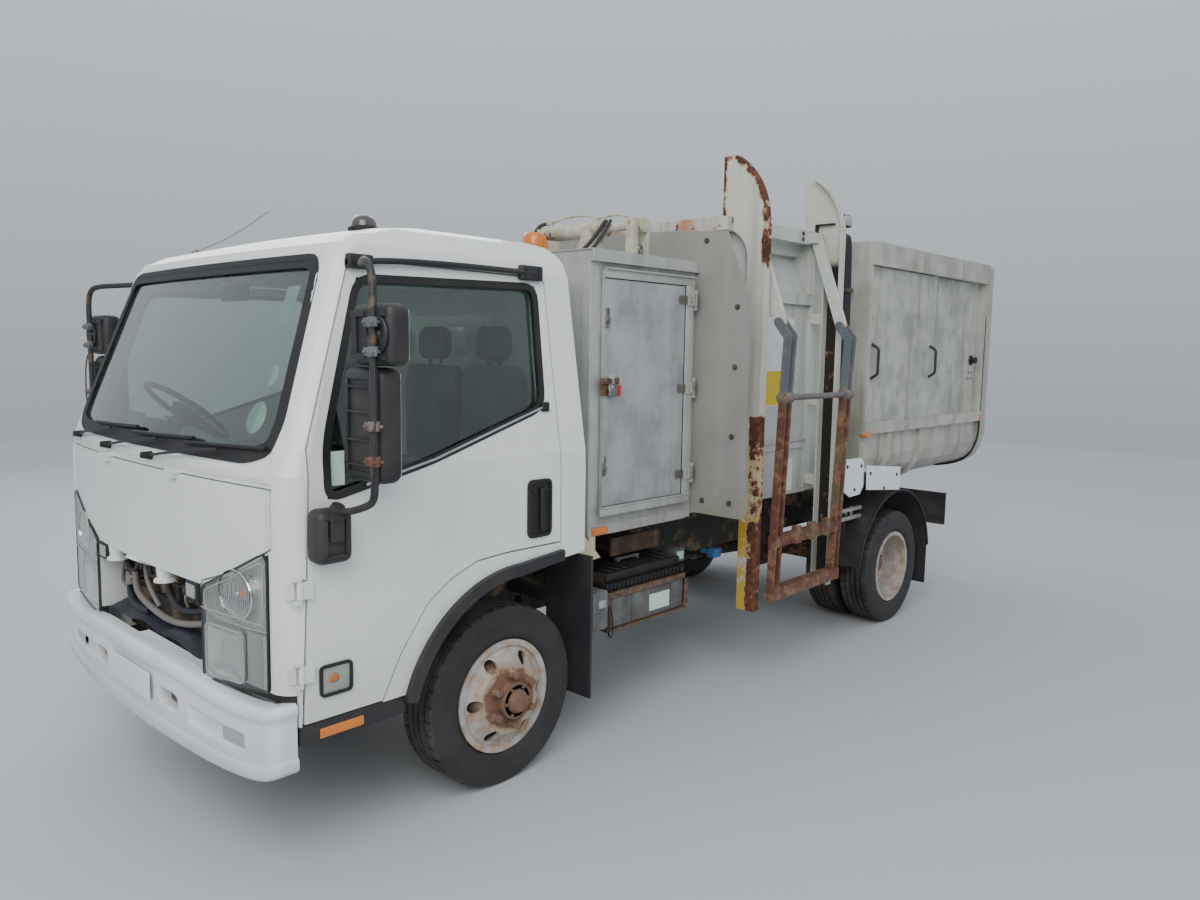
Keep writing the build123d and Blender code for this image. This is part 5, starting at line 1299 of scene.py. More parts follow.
def doorTrim(side, name, body):
    (y0, z0), (y1, z1) = handleLook["low"], handleLook["high"]
    ring = band(((y0, z0), (y1, z0), (y1, z1), (y0, z1)), handleLook["radius"], 0.014, 0.010, sideLay(0.003, side))
    back = patch(4, 8, lambda u, v: (side * (sideX(1.1) + 0.0025), y0 + 0.008 + (y1 - y0 - 0.016) * u,
                                     z0 + 0.010 + (z1 - z0 - 0.020) * v))
    # an inset divides the middle of the recess
    work(back, lambda p, n: y0 + 0.03 < p[1] < y1 - 0.02 and z0 + 0.03 < p[2] < z1 - 0.03,
         inset(0.01), push(0, 0, 0))
    grip = block((side * (sideX(1.1) + 0.002), (y0 + y1) / 2 - 0.004, z0 + 0.026),
                 (side * (sideX(1.1) + 0.020), (y0 + y1) / 2 + 0.036, z1 - 0.034), 0.006, 3)
    work(grip, lambda p, n: n[0] * side > 0.95, inset(0.006), push(-side * 0.003, 0, 0))
    lock = turned(((0.0, 0.011), (0.006, 0.012), (0.008, 0.009), (0.006, 0.004), (0.006, 0.0), (0.0, 0.0)),
                  (side * sideX(1.1), y0 + 0.034, z1 - 0.045), (side, 0, 0), 20)
    keep([ring, thicken(faced(back, (side, 0, 0)), 0.003), grip, lock], "doorHandle" + name, body,
         "sealBlack")
    case = band(((-0.886, 0.642), (-0.764, 0.642), (-0.764, 0.751), (-0.886, 0.751)), 0.020, 0.010, 0.012,
                sideLay(0.004, side))
    lens = sheet(8, 8, lambda u, v: (side * (sideX(0.7) + 0.006 + 0.010 * sin(pi * u) ** 0.6 * sin(pi * v) ** 0.6),
                                     -0.880 + 0.110 * u, 0.648 + 0.097 * v), (side, 0, 0), 0.003)
    keep(case, "repeaterCase" + name, body, "sealBlack")
    keep(lens, "repeaterLens" + name, body, "lensClear")
    inside = slab((side * (sideX(0.7) + 0.0015), -0.876, 0.652), (side * (sideX(0.7) + 0.0035), -0.774, 0.741))
    keep(inside, "repeaterReflector" + name, body, "lampSilver")
    bulb = ball((side * (sideX(0.7) + 0.006), -0.834, 0.700), 0.020, (0.25, 1, 0.8), 16)
    keep(bulb, "repeaterBulb" + name, body, "lensAmber")


for side, name in sides:
    doorTrim(side, name, doors[side])

railLook = {"route": ((-0.655, 2.092), (-0.560, 2.104), (-0.30, 2.112), (0.0, 2.112), (0.165, 2.110)),
            "bolts": ((0.105, 2.098), (0.105, 2.124), (0.178, 2.098), (0.178, 2.124), (-0.68, 2.09), (-0.62, 2.10))}
for side, name in sides:
    def off(z, proud):
        return side * (sideX(z) + proud)

    rail = [pipe([(off(z, 0.022), y, z) for y, z in railLook["route"]], 0.0115),
            block((off(2.11, 0.003), 0.080, 2.080), (off(2.11, 0.030), 0.200, 2.140), 0.008, 3),
            block((off(2.10, 0.002), -0.700, 2.070), (off(2.10, 0.030), -0.600, 2.118), 0.008, 3)]
    rail += [rod((off(2.11, 0.028), y, z), (off(2.11, 0.034), y, z), 0.007, 6) for y, z in railLook["bolts"]]
    keep(rail, "gutterRail" + name, "cab", "mirrorBlack")
    corner = block((off(1.57, -0.002), 0.140, 1.552), (off(1.57, 0.012), 0.182, 1.592), 0.006, 3)
    keep(corner, "beltCorner" + name, doors[side], "sealBlack")
sticker = sheet(3, 3, lambda u, v: (sideX(1.40) - 0.0155, -0.836 + 0.070 * u, 1.345 + 0.115 * v), (1, 0, 0), 0.0012)
keep(sticker, "stickerSide", "door_left", "stickerPale")

stickers = (
    # middle x, middle z, width, height, finish, name
    (-0.185, 1.500, 0.190, 0.055, "stickerGreen", "stickerStrip"),
    (0.700, 1.940, 0.075, 0.140, "stickerPale", "stickerCorner"),
)
for x, z, width, height, finish, name in stickers:
    label = patch(6, 2, lambda u, v: (x + width * (u - 0.5),
                                      frontY(x + width * (u - 0.5), z + height * (v - 0.5)) + 0.0135,
                                      z + height * (v - 0.5)))
    work(label, lambda p, n: abs(p[2] - z) < height, inset(0.006))
    keep(thicken(faced(label, (0, -1, 0)), 0.001), name, "cab", finish)
for n, (x, z, r) in enumerate(((0.735, 1.560, 0.058), (0.742, 1.700, 0.040))):
    disc = turned(((0.0, r), (0.001, r), (0.001, 0.0), (0.0, 0.0)), (x, frontY(x, z) + 0.014, z),
                  (0, -0.93, 0.37), 32)
    keep(disc, "stickerDisc" + str(n + 1), "cab", "stickerPale")

roofPlace = (0.560, -0.400, 2.2470)
roofLook = {"base": ((0.0, 0.060), (0.010, 0.062), (0.016, 0.056), (0.018, 0.050), (0.0, 0.0)),
            "dome": ((0.016, 0.0), (0.016, 0.050), (0.030, 0.049), (0.046, 0.042), (0.058, 0.028), (0.064, 0.0)),
            "aerial": ((-0.610, -0.560, 2.225), (-0.615, -0.450, 2.270), (-0.640, -0.260, 2.390),
                       (-0.650, -0.170, 2.460)),
            "aerialFoot": ((0.0, 0.016), (0.012, 0.014), (0.030, 0.008), (0.036, 0.0), (0.0, 0.0))}
keep(turned(roofLook["base"], roofPlace, (0, 0, 1), 32), "roofLampBase", "cab", "sealBlack")
keep(turned(roofLook["dome"], roofPlace, (0, 0, 1), 32), "roofLamp", "cab", "domeSmoke")
aerial = [pipe(roofLook["aerial"], 0.0022),
          turned(roofLook["aerialFoot"], (-0.610, -0.560, 2.212), (0, 0.55, 0.83), 20)]
keep(aerial, "aerial", "cab", "steelDull")
for side, name in sides:
    reflector = sheet(6, 2,
                      lambda u, v: (side * (1.0125 + 0.003 * sin(pi * v)), -0.882 + 0.166 * u, 0.498 + 0.034 * v),
                      (side, 0, 0), 0.004)
    keep(reflector, "sillReflector" + name, "cab", "lensAmber")
print("doors and roof trimmed")


# ---- cab inside: seats, wheel, dashboard

def cushion(low, high, crown, name, body, channels=0):
    # seat pad: a block that is rounded, crowned and sewn in channels
    piece = slab(low, high)
    edit(piece, ("subdivide", {"number_cuts": 11}))
    middle = [(a + b) / 2 for a, b in zip(low, high)]
    half = [abs(b - a) / 2 for a, b in zip(low, high)]
    for vertex in piece.data.vertices:
        u = [(c - m) / h for c, m, h in zip((vertex.co[0], vertex.co[1] - axleY, vertex.co[2]), middle, half)]
        swell = (1 - u[0] ** 2) * (1 - u[1] ** 2) if crown[2] else (1 - u[0] ** 2) * (1 - u[2] ** 2)
        groove = 0.0
        if channels:
            along = u[1] if crown[2] else u[2]
            groove = 0.006 * max(0.0, 1 - abs(sin(pi * channels * (along + 1) / 2)) * 3)
        lift = [c * (swell - 0.6) for c in crown]
        pull = 0.02 * (abs(u[0]) ** 4 + abs(u[1]) ** 4 + abs(u[2]) ** 4 - 1.0)
        for axis in range(3):
            reach = lift[axis] if u[axis] > 0.99 else (-lift[axis] * 0.3 if u[axis] < -0.99 else 0)
            vertex.co[axis] += reach - (u[axis] * max(pull, 0)) * 0.6 - (groove * u[axis] if crown[axis] else 0)
    rounded(piece, 1)
    return keep(piece, name, body, "seatCloth", 60)


seats = (
    # each seat's edges across the cab
    (-0.880, -0.400), (0.070, 0.470), (0.480, 0.880),
)
for n, (low, high) in enumerate(seats):
    number = str(n + 1)
    seat = cushion((low, -0.420, 1.215), (high, 0.055, 1.322), (0, 0, 0.020), "seatPad" + number, "cab", 4)
    back = cushion((low + 0.015, 0.095, 1.225), (high - 0.015, 0.200, 1.730), (0, 0.014, 0),
                   "seatBack" + number, "cab", 5)
    rest = cushion((low + 0.11, 0.105, 1.752), (high - 0.11, 0.190, 1.900), (0, 0.010, 0),
                   "headRest" + number, "cab")
    parts = [rod((x, 0.150, 1.70), (x, 0.150, 1.78), 0.006) for x in (low + 0.16, high - 0.16)]
    parts.append(block((low + 0.02, -0.400, 1.140), (high - 0.02, 0.030, 1.212), 0.012))
    parts += [slab((x, y, 0.991), (x + 0.04, y + 0.04, 1.142))
              for x in (low + 0.03, high - 0.07) for y in (-0.36, -0.02)]
    parts += [slab((x, 0.02, 1.19), (x + 0.03, 0.14, 1.30)) for x in (low + 0.02, high - 0.05)]
    seatFrame = keep(parts, "seatFrame" + number, "cab", "interiorDark")
    for piece in (seat, back, seatFrame):
        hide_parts("cab_interior")

dashLook = {"half": 0.86,
            "section": ((-0.925, 1.14), (-0.925, 1.30), (-0.915, 1.395), (-0.88, 1.418), (-0.84, 1.422),
                        (-0.80, 1.415), (-0.785, 1.395), (-0.78, 1.34), (-0.78, 1.28), (-0.79, 1.22),
                        (-0.81, 1.17), (-0.84, 1.14), (-0.86, 1.132))}


def dashLay(u, v):
    # the top waves over the instruments and the shelf
    n = round((len(dashLook["section"]) - 1) * v)
    y, z = dashLook["section"][n]
    return dashLook["half"] * (2 * u - 1), y, z + (0.008 * sin(5 * pi * u) if 3 <= n <= 6 else 0.0)


dash = patch(24, 12, dashLay)

work(dash, lambda p, n: -0.20 < p[0] < 0.22 and n[1] > 0.5, inset(0.02, -0.004), inset(0.02, 0.0))
work(dash, lambda p, n: 0.36 < p[0] < 0.78 and n[1] > 0.5 and p[2] < 1.3, inset(0.015, -0.003))
dash = thicken(rounded(faced(dash, (0, 0, 1)), 1), 0.006)
pod = block((-0.80, -0.84, 1.40), (-0.48, -0.74, 1.47), 0.03, 4)
centre = block((-0.12, -0.80, 1.00), (0.12, -0.775, 1.36), 0.012, 3)
foot = block((-0.14, -0.90, 0.991), (0.14, -0.80, 1.14), 0.01)

keep([dash, pod, centre, foot], "dashboard", "cab", "interiorGrey")
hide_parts("cab_interior")
axis = Vector((0, 0.62, 0.78)).normalized()
hub = Vector((-0.640, -0.600, 1.490))
ring = turned([(0.013 * sin(2 * pi * k / 12), 0.205 + 0.014 * cos(2 * pi * k / 12)) for k in range(12)], hub, axis,
              72)
boss = turned(((-0.030, 0.062), (0.004, 0.074), (0.016, 0.060), (0.020, 0.0), (-0.030, 0.0)), hub, axis, 32)
across = axis.cross(Vector((1, 0, 0))).normalized()
spokes = [pipe([hub + s * 0.05 * d, hub + s * 0.13 * d + axis * 0.004, hub + s * 0.205 * d], 0.012)
          for s, d in ((1, Vector((1, 0, 0))), (-1, Vector((1, 0, 0))), (1, across))]
column = rod(hub - axis * 0.03, (-0.640, -0.800, 1.300), 0.036, 24, 0.048)
stalks = [rod(hub - axis * 0.05, hub - axis * 0.06 + Vector((s * 0.17, 0, 0.01)), 0.006) for s in (1, -1)]
keep([ring, boss] + spokes + [column] + stalks, "steeringWheel", "cab", "interiorDark")
mirrorIn = block((-0.12, -0.66, 1.98), (0.12, -0.645, 2.05), 0.012, 3)
stalk = rod((0, -0.655, 2.03), (0, -0.700, 2.10), 0.008)
keep([mirrorIn, stalk], "innerMirror", "cab", "interiorDark")
visors = [block((x, -0.640, 2.085), (x + 0.52, -0.45, 2.105), 0.008) for x in (-0.66, 0.14)]
keep(visors, "sunVisors", "cab", "visorPale")
print("cab furnished")


# ---- cabinet behind the cab

podLook = {"face": 0.893, "top": (2.128, 2.170), "bottom": (1.046, 1.088), "rear": (1.206, 1.262),
           "hinges": (1.193, 1.623, 2.058), "rivets": 11, "rivetStep": 0.118}
frameBars = (
    # how far proud of the cabinet's face, along, height: from and to
    (0.007, 0.616, 1.268, *podLook["top"]), (0.009, 0.600, 1.262, *podLook["bottom"]),
    (0.006, *podLook["rear"], 1.088, 2.128),
)
bars = [block((podLook["face"] - 0.004, y0, z0), (podLook["face"] + proud, y1, z1), 0.002)
        for proud, y0, y1, z0, z1 in frameBars]
lips = [slab((0.893, 0.616, 2.166), (0.914, 1.268, 2.172)), slab((0.893, 0.600, 1.084), (0.908, 1.262, 1.089))]
keep(bars + lips, "podDoorFrame", "cabinet_door", "frameAluminium")
panel = patch(12, 20, lambda u, v: (0.8936 + 0.0035 * sin(pi * u) * sin(pi * v),
                                    0.624 + 0.578 * u, 1.092 + 1.032 * v))
work(panel, lambda p, n: n[0] > 0.5 or n[0] < -0.5, inset(0.008, 0.0015))
keep(thicken(faced(panel, (1, 0, 0)), 0.001), "podDoorPanel", "cabinet_door", "panelAluminium")
# painted shadow: thin black strips laid in the gaps between the door's panel and its frame bars
shadow = [slab((0.8925, 1.2005, 1.089), (0.8955, 1.2055, 2.127)),
          slab((0.8925, 0.618, 2.1235), (0.8955, 1.2055, 2.1275)),
          slab((0.8925, 0.616, 1.0885), (0.8955, 1.2055, 1.0915))]
keep(shadow, "podDoorGaps", "cabinet_door", "sealBlack")
straps = []
for z in podLook["hinges"]:
    strap = slab((0.898, 1.150, z - 0.019), (0.903, 1.262, z + 0.019))
    work(strap, lambda p, n: n[0] > 0.9, inset(0.004, 0.001))
    straps += [strap, rod((0.9055, 1.276, z - 0.030), (0.9055, 1.276, z + 0.030), 0.0115, 20)]
    straps.append(bolts([(0.903, y, z + dz) for y in (1.168, 1.196, 1.236) for dz in (-0.009, 0.009)],
                        (1, 0, 0), 0.0045, 0.003))
keep(straps, "podHingeStraps", "cabinet_door", "steelDull")
leaves = []
for z in podLook["hinges"]:
    leaves.append(block((0.868, 1.288, z - 0.030), (0.874, 1.308, z + 0.030), 0.0015, 1))
    leaves.append(bolts([(0.874, 1.298, z + dz) for dz in (-0.018, 0.018)], (1, 0, 0), 0.0045, 0.003))
keep(leaves, "podHingeLeaves", "chassis", "steelDull")

hasp = [block((0.893, 0.590, 1.652), (0.911, 0.706, 1.680), 0.003),
        block((0.893, 0.596, 1.600), (0.899, 0.640, 1.652), 0.002)]
for y in (0.604, 0.640, 0.676):
    hasp.append(rod((0.905, y - 0.010, 1.668), (0.905, y + 0.010, 1.668), 0.013, 14))
keep(hasp, "podHasp", "cabinet_door", "latchRust")
shackle = pipe([(0.914, 0.652 + 0.022 * cos(pi * k / 6), 1.632 + 0.024 * sin(pi * k / 6))
                for k in range(7)], 0.0038)
lockBody = block((0.902, 0.626, 1.596), (0.924, 0.678, 1.634), 0.006, 3)
keep([lockBody, shackle], "padlock", "cabinet_door", "steelDull")
tag = block((0.904, 0.700, 1.598), (0.912, 0.716, 1.648), 0.003)
keep(tag, "lockTag", "cabinet_door", "tagRed")
clips = []
for y, z in ((0.632, 1.950), (0.624, 1.278)):
    clips.append(block((0.894, y - 0.010, z - 0.045), (0.901, y + 0.012, z + 0.045), 0.002, 1))
    clips.append(rod((0.901, y, z - 0.012), (0.909, y, z - 0.012), 0.013, 18, 0.010))
    clips.append(bolts([(0.901, y, z + 0.030)], (1, 0, 0), 0.006, 0.004))
keep(clips, "podClips", "cabinet_door", "steelDull")

gutter = [block((0.866, 0.545, 2.196), (0.897, 1.309, 2.204), 0.001, 1),
          block((0.882, 0.545, 2.204), (0.886, 1.309, 2.252), 0.0012, 1),
          block((-0.868, 0.545, 2.248), (0.886, 0.5505, 2.2525), 0.001, 1)]
rivets = [ball((x, 0.5505, 1.000 + podLook["rivetStep"] * n), 0.0065, (1, 0.5, 1), 10)
          for x in (0.846, 0.60) for n in range(podLook["rivets"])]
rivets += [ball((0.8685, 0.58 + 0.075 * n, z), 0.0055, (0.5, 1, 1), 10) for z in (1.010, 2.182) for n in range(10)]
keep(gutter + rivets, "podGutter", "chassis", "frameAluminium")
corner = [slab((0.862, 0.549, 0.956), (0.871, 0.600, 2.196)), slab((0.820, 0.5475, 0.956), (0.871, 0.5525, 2.196)),
          slab((0.862, 1.272, 0.956), (0.8705, 1.3115, 2.196)), slab((0.862, 0.600, 0.952), (0.8705, 1.272, 1.000))]
keep([soften(part, 0.0012, 1) for part in corner], "podCorners", "chassis", "frameAluminium")
eye = turned([(0.006 * sin(2 * pi * k / 10), 0.020 + 0.006 * cos(2 * pi * k / 10)) for k in range(10)],
             (0.852, 0.900, 2.278), (1, 0.3, 0), 28)
eyeFoot = block((0.840, 0.885, 2.2495), (0.864, 0.915, 2.256), 0.001, 1)
keep([eye, eyeFoot], "podEye", "chassis", "steelDull")
amber = block((0.868, 0.572, 0.958), (0.884, 0.676, 0.992), 0.006, 3)
keep(amber, "podMarker", "chassis", "lensAmber")

beacon = {"place": (0.420, 0.625), "dome": 2.2752, "foot": 2.2505,
          "outline": ((0.0, 0.0), (0.0, 0.058), (0.004, 0.060), (0.052, 0.056), (0.072, 0.051), (0.081, 0.042),
                      (0.084, 0.0)),
          "footOutline": ((0.0, 0.053), (0.006, 0.055), (0.020, 0.055), (0.0245, 0.052), (0.0248, 0.0), (0.0, 0.0)),
          "ribs": ((0.0600, 0.004), (0.0570, 0.050), (0.0520, 0.071)), "ribEvery": 20}
x, y = beacon["place"]
dome = [turned(beacon["outline"], (x, y, beacon["dome"]), (0, 0, 1), 40)]
for degrees in range(0, 360, beacon["ribEvery"]):
    across, along = cos(radians(degrees)), sin(radians(degrees))
    dome.append(pipe([(x + r * across, y + r * along, beacon["dome"] + h) for r, h in beacon["ribs"]],
                     0.0018, False, 1))
keep(dome, "beaconDome", "chassis", "lensAmber")
stand = turned(beacon["footOutline"], (x, y, beacon["foot"]), (0, 0, 1), 40)
keep(stand, "beaconFoot", "chassis", "sealBlack")

cylinderLook = {"axis": (0.900, 2.390), "rings": (0.150, 0.165, 0.600, 0.620),
                "ring": ((0.0, 0.039), (0.0, 0.046), (0.012, 0.046), (0.012, 0.039)),
                "end": ((0.0, 0.0), (0.0, 0.030), (0.010, 0.034), (0.016, 0.024), (0.018, 0.0))}
plates = (
    # corners as (x, z) of the plates that carry the cylinder
    ((0.170, 2.251), (0.300, 2.251), (0.246, 2.400), (0.190, 2.420)),
    ((0.480, 2.251), (0.600, 2.251), (0.575, 2.405), (0.540, 2.405)),
)
ports = (
    # start and end as (x, z), radius, sides
    ((0.250, 2.420), (0.250, 2.452), 0.012, 12), ((0.560, 2.420), (0.560, 2.450), 0.012, 12),
    ((0.245, 2.446), (0.215, 2.446), 0.009, 6), ((0.560, 2.444), (0.590, 2.444), 0.009, 6),
)
parts = [turned(cylinderLook["ring"], (x, *cylinderLook["axis"]), (1, 0, 0), 32) for x in cylinderLook["rings"]]
parts.append(turned(cylinderLook["end"], (0.864, *cylinderLook["axis"]), (1, 0, 0), 28))
parts += [sketch([(x, 0.8485, z) for x, z in corners], (0, -0.008, 0)) for corners in plates]
parts += [rod((x0, 0.900, z0), (x1, 0.900, z1), radius, edges) for (x0, z0), (x1, z1), radius, edges in ports]
keep(parts, "roofCylinderTrim", "chassis", "creamAlgae")
steelLines = (
    # route, radius
    (((0.262, 0.898, 2.448), (0.340, 0.890, 2.462), (0.440, 0.890, 2.466), (0.520, 0.895, 2.462),
      (0.552, 0.900, 2.448)),
     0.0055),
    (((0.590, 0.900, 2.444), (0.660, 0.895, 2.450), (0.740, 0.890, 2.446), (0.790, 0.880, 2.430)), 0.0050),
)
keep([pipe(*line) for line in steelLines], "roofSteelLines", "chassis", "creamAlgae")
roofHoses = (
    # route, radius
    (((0.215, 0.898, 2.446), (0.195, 0.870, 2.440), (0.200, 0.820, 2.380), (0.240, 0.780, 2.345),
      (0.280, 0.765, 2.330)),
     0.0095),
    (((0.640, 0.890, 2.425), (0.655, 0.850, 2.400), (0.640, 0.800, 2.330), (0.600, 0.770, 2.275),
      (0.560, 0.760, 2.256)),
     0.0095),
    (((0.670, 0.890, 2.425), (0.690, 0.850, 2.395), (0.680, 0.800, 2.320), (0.650, 0.770, 2.270),
      (0.610, 0.755, 2.254)),
     0.0085),
)
keep([pipe(*line) for line in roofHoses], "roofHoses", "chassis", "hoseBlack")

valves = []
for n in range(4):
    x = 0.268 + 0.040 * n
    valves.append(block((x, 0.712, 2.3285), (x + 0.030, 0.778, 2.352), 0.003, 1))
    valves.append(rod((x + 0.015, 0.700, 2.300), (x + 0.015, 0.682, 2.300), 0.010, 12))
    valves.append(rod((x + 0.015, 0.745, 2.350), (x + 0.015, 0.745, 2.372), 0.006, 12, 0.004))
keep(valves, "roofValves", "chassis", "latchRust")
print("cabinet made")


# ---- front wall of the body and the hopper's side

wallLook = {"bolts": ((0.934, 2.352), (1.129, 2.024), (1.125, 1.732), (1.118, 1.389), (1.115, 1.055),
                      (0.949, 1.050),
                      (-0.949, 1.050))}
keep(bolts([(x, 1.3115, z) for x, z in wallLook["bolts"]], (0, -1, 0), 0.010, 0.008), "wallBolts", "chassis",
     "boltDark")

sheets = (
    # y from, to, z from, to, thickness, finish, name
    (1.930, 2.292, 1.497, 2.003, 0.003, "signWhite", "signSheet"),
    (1.940, 2.282, 1.505, 1.700, 0.0042, "signYellow", "signField"),
    (2.228, 2.330, 0.985, 1.180, 0.002, "signWhite", "labelSheet"),
)
for y0, y1, z0, z1, thick, finish, name in sheets:
    sign = slab((0.8602, y0, z0), (0.8602 + thick, y1, z1))
    work(sign, lambda p, n: n[0] > 0.9, inset(0.004, 0.0))
    keep(soften(sign, 0.0008, 1), name, "tipper", finish)
hopperTrim = (
    # low corner, high corner
    ((0.860, 1.655, 0.968), (0.872, 2.465, 0.992)), ((0.860, 2.440, 0.992), (0.880, 2.468, 2.092)),
    ((0.860, 1.655, 0.992), (0.868, 1.690, 2.092)), ((0.868, 1.662, 1.286), (0.886, 2.458, 1.2915)),
    ((0.880, 1.662, 2.086), (0.8865, 2.458, 2.0935)),
)
keep([block(*corners, 0.0015, 1) for corners in hopperTrim], "hopperTrim", "tipper", "hopperGrey")
cheek = ((0.8605, 2.150), (0.905, 2.150), (0.905, 2.440), (0.7505, 2.440), (0.7505, 2.372))
cheeks = [sketch([(x, y - 0.006, z) for x, z in cheek], (0, 0.012, 0)) for y in (1.700, 2.430)]
cheeks.append(sketch(((0.8855, 1.655, 2.444), (0.8925, 1.655, 2.436), (0.8925, 2.466, 2.436),
                      (0.8855, 2.466, 2.444)), (0, 0, 0.074)))
keep(cheeks, "headerCheeks", "tipper", "hopperGrey")
headerBolts = bolts([(0.8925, y, z) for y in (1.69, 1.84, 2.30, 2.44) for z in (2.460, 2.492)],
                    (1, 0, 0), 0.009, 0.007)
keep(headerBolts, "headerBolts", "tipper", "boltDark")
print("hopper trimmed")


# ---- trims of the container: handle feet, lamps, the recess's knob, the gate's rubber, plate bolts

knobLook = {"place": (0.984, 4.710, 1.770),
            "outline": ((0.0, 0.0), (0.0, 0.036), (0.004, 0.038), (0.012, 0.036), (0.016, 0.020), (0.030, 0.018),
                        (0.036, 0.026), (0.046, 0.024), (0.048, 0.0)),
            "studs": ((-0.028, 1.675), (0.028, 1.675), (-0.028, 1.630), (0.028, 1.630))}
for side, name in sides:
    for y, place in ((2.975, "Front"), (3.855, "Rear")):
        feet = [block((side * 1.002, y - 0.020, z - 0.030), (side * 1.012, y + 0.020, z + 0.030), 0.003)
                for z in (1.660, 1.862)]
        keep(feet, "bowFeet" + place + name, "slide_front_" + name.lower(), "sealBlack")
    markers = [block((side * 1.000, y - 0.032, z - 0.022), (side * 1.046, y + 0.032, z + 0.022), 0.007, 3)
               for y, z in ((2.933, 1.303), (4.838, 1.330))]
    keep(markers, "sideMarkers" + name, "tipper", "lensAmber")
    x, y, z = knobLook["place"]
    knob = [turned(knobLook["outline"], (side * x, y, z), (side, 0, 0), 28)]
    knob += [rod((side * 0.9835, y + a, z), (side * 0.9865, y + a, z), 0.0085, 14) for a, z in knobLook["studs"]]
    keep(knob, "recessKnob" + name, "tipper", "sealBlack")
gateRoute = ((1.030, 2.10), (1.030, 1.300), (1.030, 1.200), (1.012, 1.110), (0.968, 1.020), (0.880, 0.955),
             (0.770, 0.925), (0.650, 0.906), (0.300, 0.906))
for side, name in sides:
    rubber = pipe([(side * (x - 0.004), 4.858, z) for x, z in gateRoute], 0.0075)
    keep(rubber, "gateRubber" + name, "tipper", "sealBlack")
plateCorners = ((2.595, 1.125), (2.775, 1.118), (2.700, 0.975), (2.905, 1.058), (3.285, 1.018), (3.105, 0.945))
keep(bolts([(1.083, y, z) for y, z in plateCorners], (1, 0, 0), 0.008, 0.006), "plateBolts", "tipper",
     "boltDark")
print("container trimmed")


# ---- rear mudguards' lips and the guard bars before them, tail lamps

wing = {"across": 1.068, "radius": 0.524, "degrees": range(9, 172, 9)}
for side, name in sides:
    lip = pipe([(side * wing["across"], rearAxle - wing["radius"] * cos(radians(a)),
                 wheelHeight + wing["radius"] * sin(radians(a))) for a in wing["degrees"]], 0.008)
    keep(lip, "wingLip" + name, "chassis", "sealBlack")
    bars = [block((side * 0.962, 2.700, z), (side * 0.984, 3.010, z + 0.022), 0.003) for z in (0.752, 0.806)]
    bars += [block((side * 0.956, y, 0.748), (side * 0.962, y + 0.030, 0.832), 0.002, 1) for y in (2.735, 2.900)]
    bars.append(block((side * 0.700, 2.850, 0.780), (side * 0.960, 2.862, 0.792), 0.001, 1))
    bars.append(bolts([(side * 0.984, 2.985, z) for z in (0.763, 0.817)], (side, 0, 0), 0.008, 0.005))
    keep(bars, "guardBars" + name, "chassis", "frameAluminium")
    lamps = [block((side * x, 4.380, 0.652), (side * (x + 0.088), 4.394, 0.728), 0.006) for x in (0.695, 0.882)]
    keep(lamps, "tailLampRed" + name, "chassis", "lensRed")
    turn = block((side * 0.788, 4.380, 0.652), (side * 0.876, 4.392, 0.728), 0.006)
    keep(turn, "tailLampAmber" + name, "chassis", "lensAmber")
print("rear trimmed")


# ---- battery in its tray, boxes and plates behind the cab

batteryLook = {
    # low and high corner of each block
    "case": (((0.846, 0.716, 0.486), (0.862, 1.284, 0.640)), ((0.862, 0.722, 0.492), (0.866, 0.860, 0.632)),
             ((0.862, 0.876, 0.492), (0.866, 1.000, 0.632)), ((0.862, 1.180, 0.492), (0.866, 1.276, 0.632))),
    "tray": (((0.500, 0.690, 0.474), (0.872, 0.698, 0.650)), ((0.866, 0.690, 0.474), (0.873, 0.720, 0.660)),
             ((0.866, 0.690, 0.634), (0.874, 1.312, 0.662)), ((0.866, 1.286, 0.500), (0.874, 1.312, 0.662)),
             ((0.500, 1.304, 0.500), (0.872, 1.312, 0.650)), ((0.840, 0.690, 0.472), (0.872, 1.312, 0.480))),
    # route and radius of each cable
    "cables": ((((0.640, 0.780, 0.756), (0.650, 0.740, 0.790), (0.640, 0.680, 0.780), (0.560, 0.640, 0.740),
                 (0.460, 0.640, 0.700), (0.420, 0.640, 0.680)), 0.008),
               (((0.640, 1.230, 0.756), (0.620, 1.270, 0.800), (0.540, 1.330, 0.790), (0.460, 1.360, 0.740),
                 (0.420, 1.380, 0.690)), 0.008),
               (((0.873, 0.700, 0.610), (0.884, 0.696, 0.540), (0.878, 0.700, 0.470), (0.860, 0.712, 0.440),
                 (0.845, 0.730, 0.470)), 0.0028),
               (((0.873, 0.714, 0.600), (0.888, 0.716, 0.520), (0.880, 0.720, 0.455), (0.858, 0.728, 0.430),
                 (0.840, 0.740, 0.468)), 0.0028))}
keep([block(*corners, 0.004) for corners in batteryLook["case"]], "batteryCase", "chassis", "caseGrey")
label = block((0.8615, 1.012, 0.512), (0.8655, 1.169, 0.596), 0.001, 1)
keep(label, "batteryLabel", "chassis", "stickerPale")
lid = [block((0.540, 0.700, 0.668), (0.858, 1.302, 0.700), 0.006),
       block((0.560, 0.716, 0.700), (0.838, 1.286, 0.748), 0.010)]
lid += [block((0.600, y, 0.748), (0.830, y + 0.032, 0.757), 0.003, 1) for y in (0.745, 0.800, 0.855, 1.150, 1.205)]
lid += [slab((0.858, 0.716 + 0.030 * n, 0.672), (0.863, 0.730 + 0.030 * n, 0.697)) for n in range(19)]
keep(lid, "batteryLid", "chassis", "sealBlack")
grip = [block((0.690, 0.935, 0.756), (0.716, 1.105, 0.768), 0.005)]
grip += [slab((0.694, y, 0.744), (0.712, y + 0.016, 0.760)) for y in (0.940, 1.084)]
keep(grip, "batteryGrip", "chassis", "caseGrey")
keep([block(*corners, 0.0015, 1) for corners in batteryLook["tray"]], "batteryTray", "chassis", "latchRust")
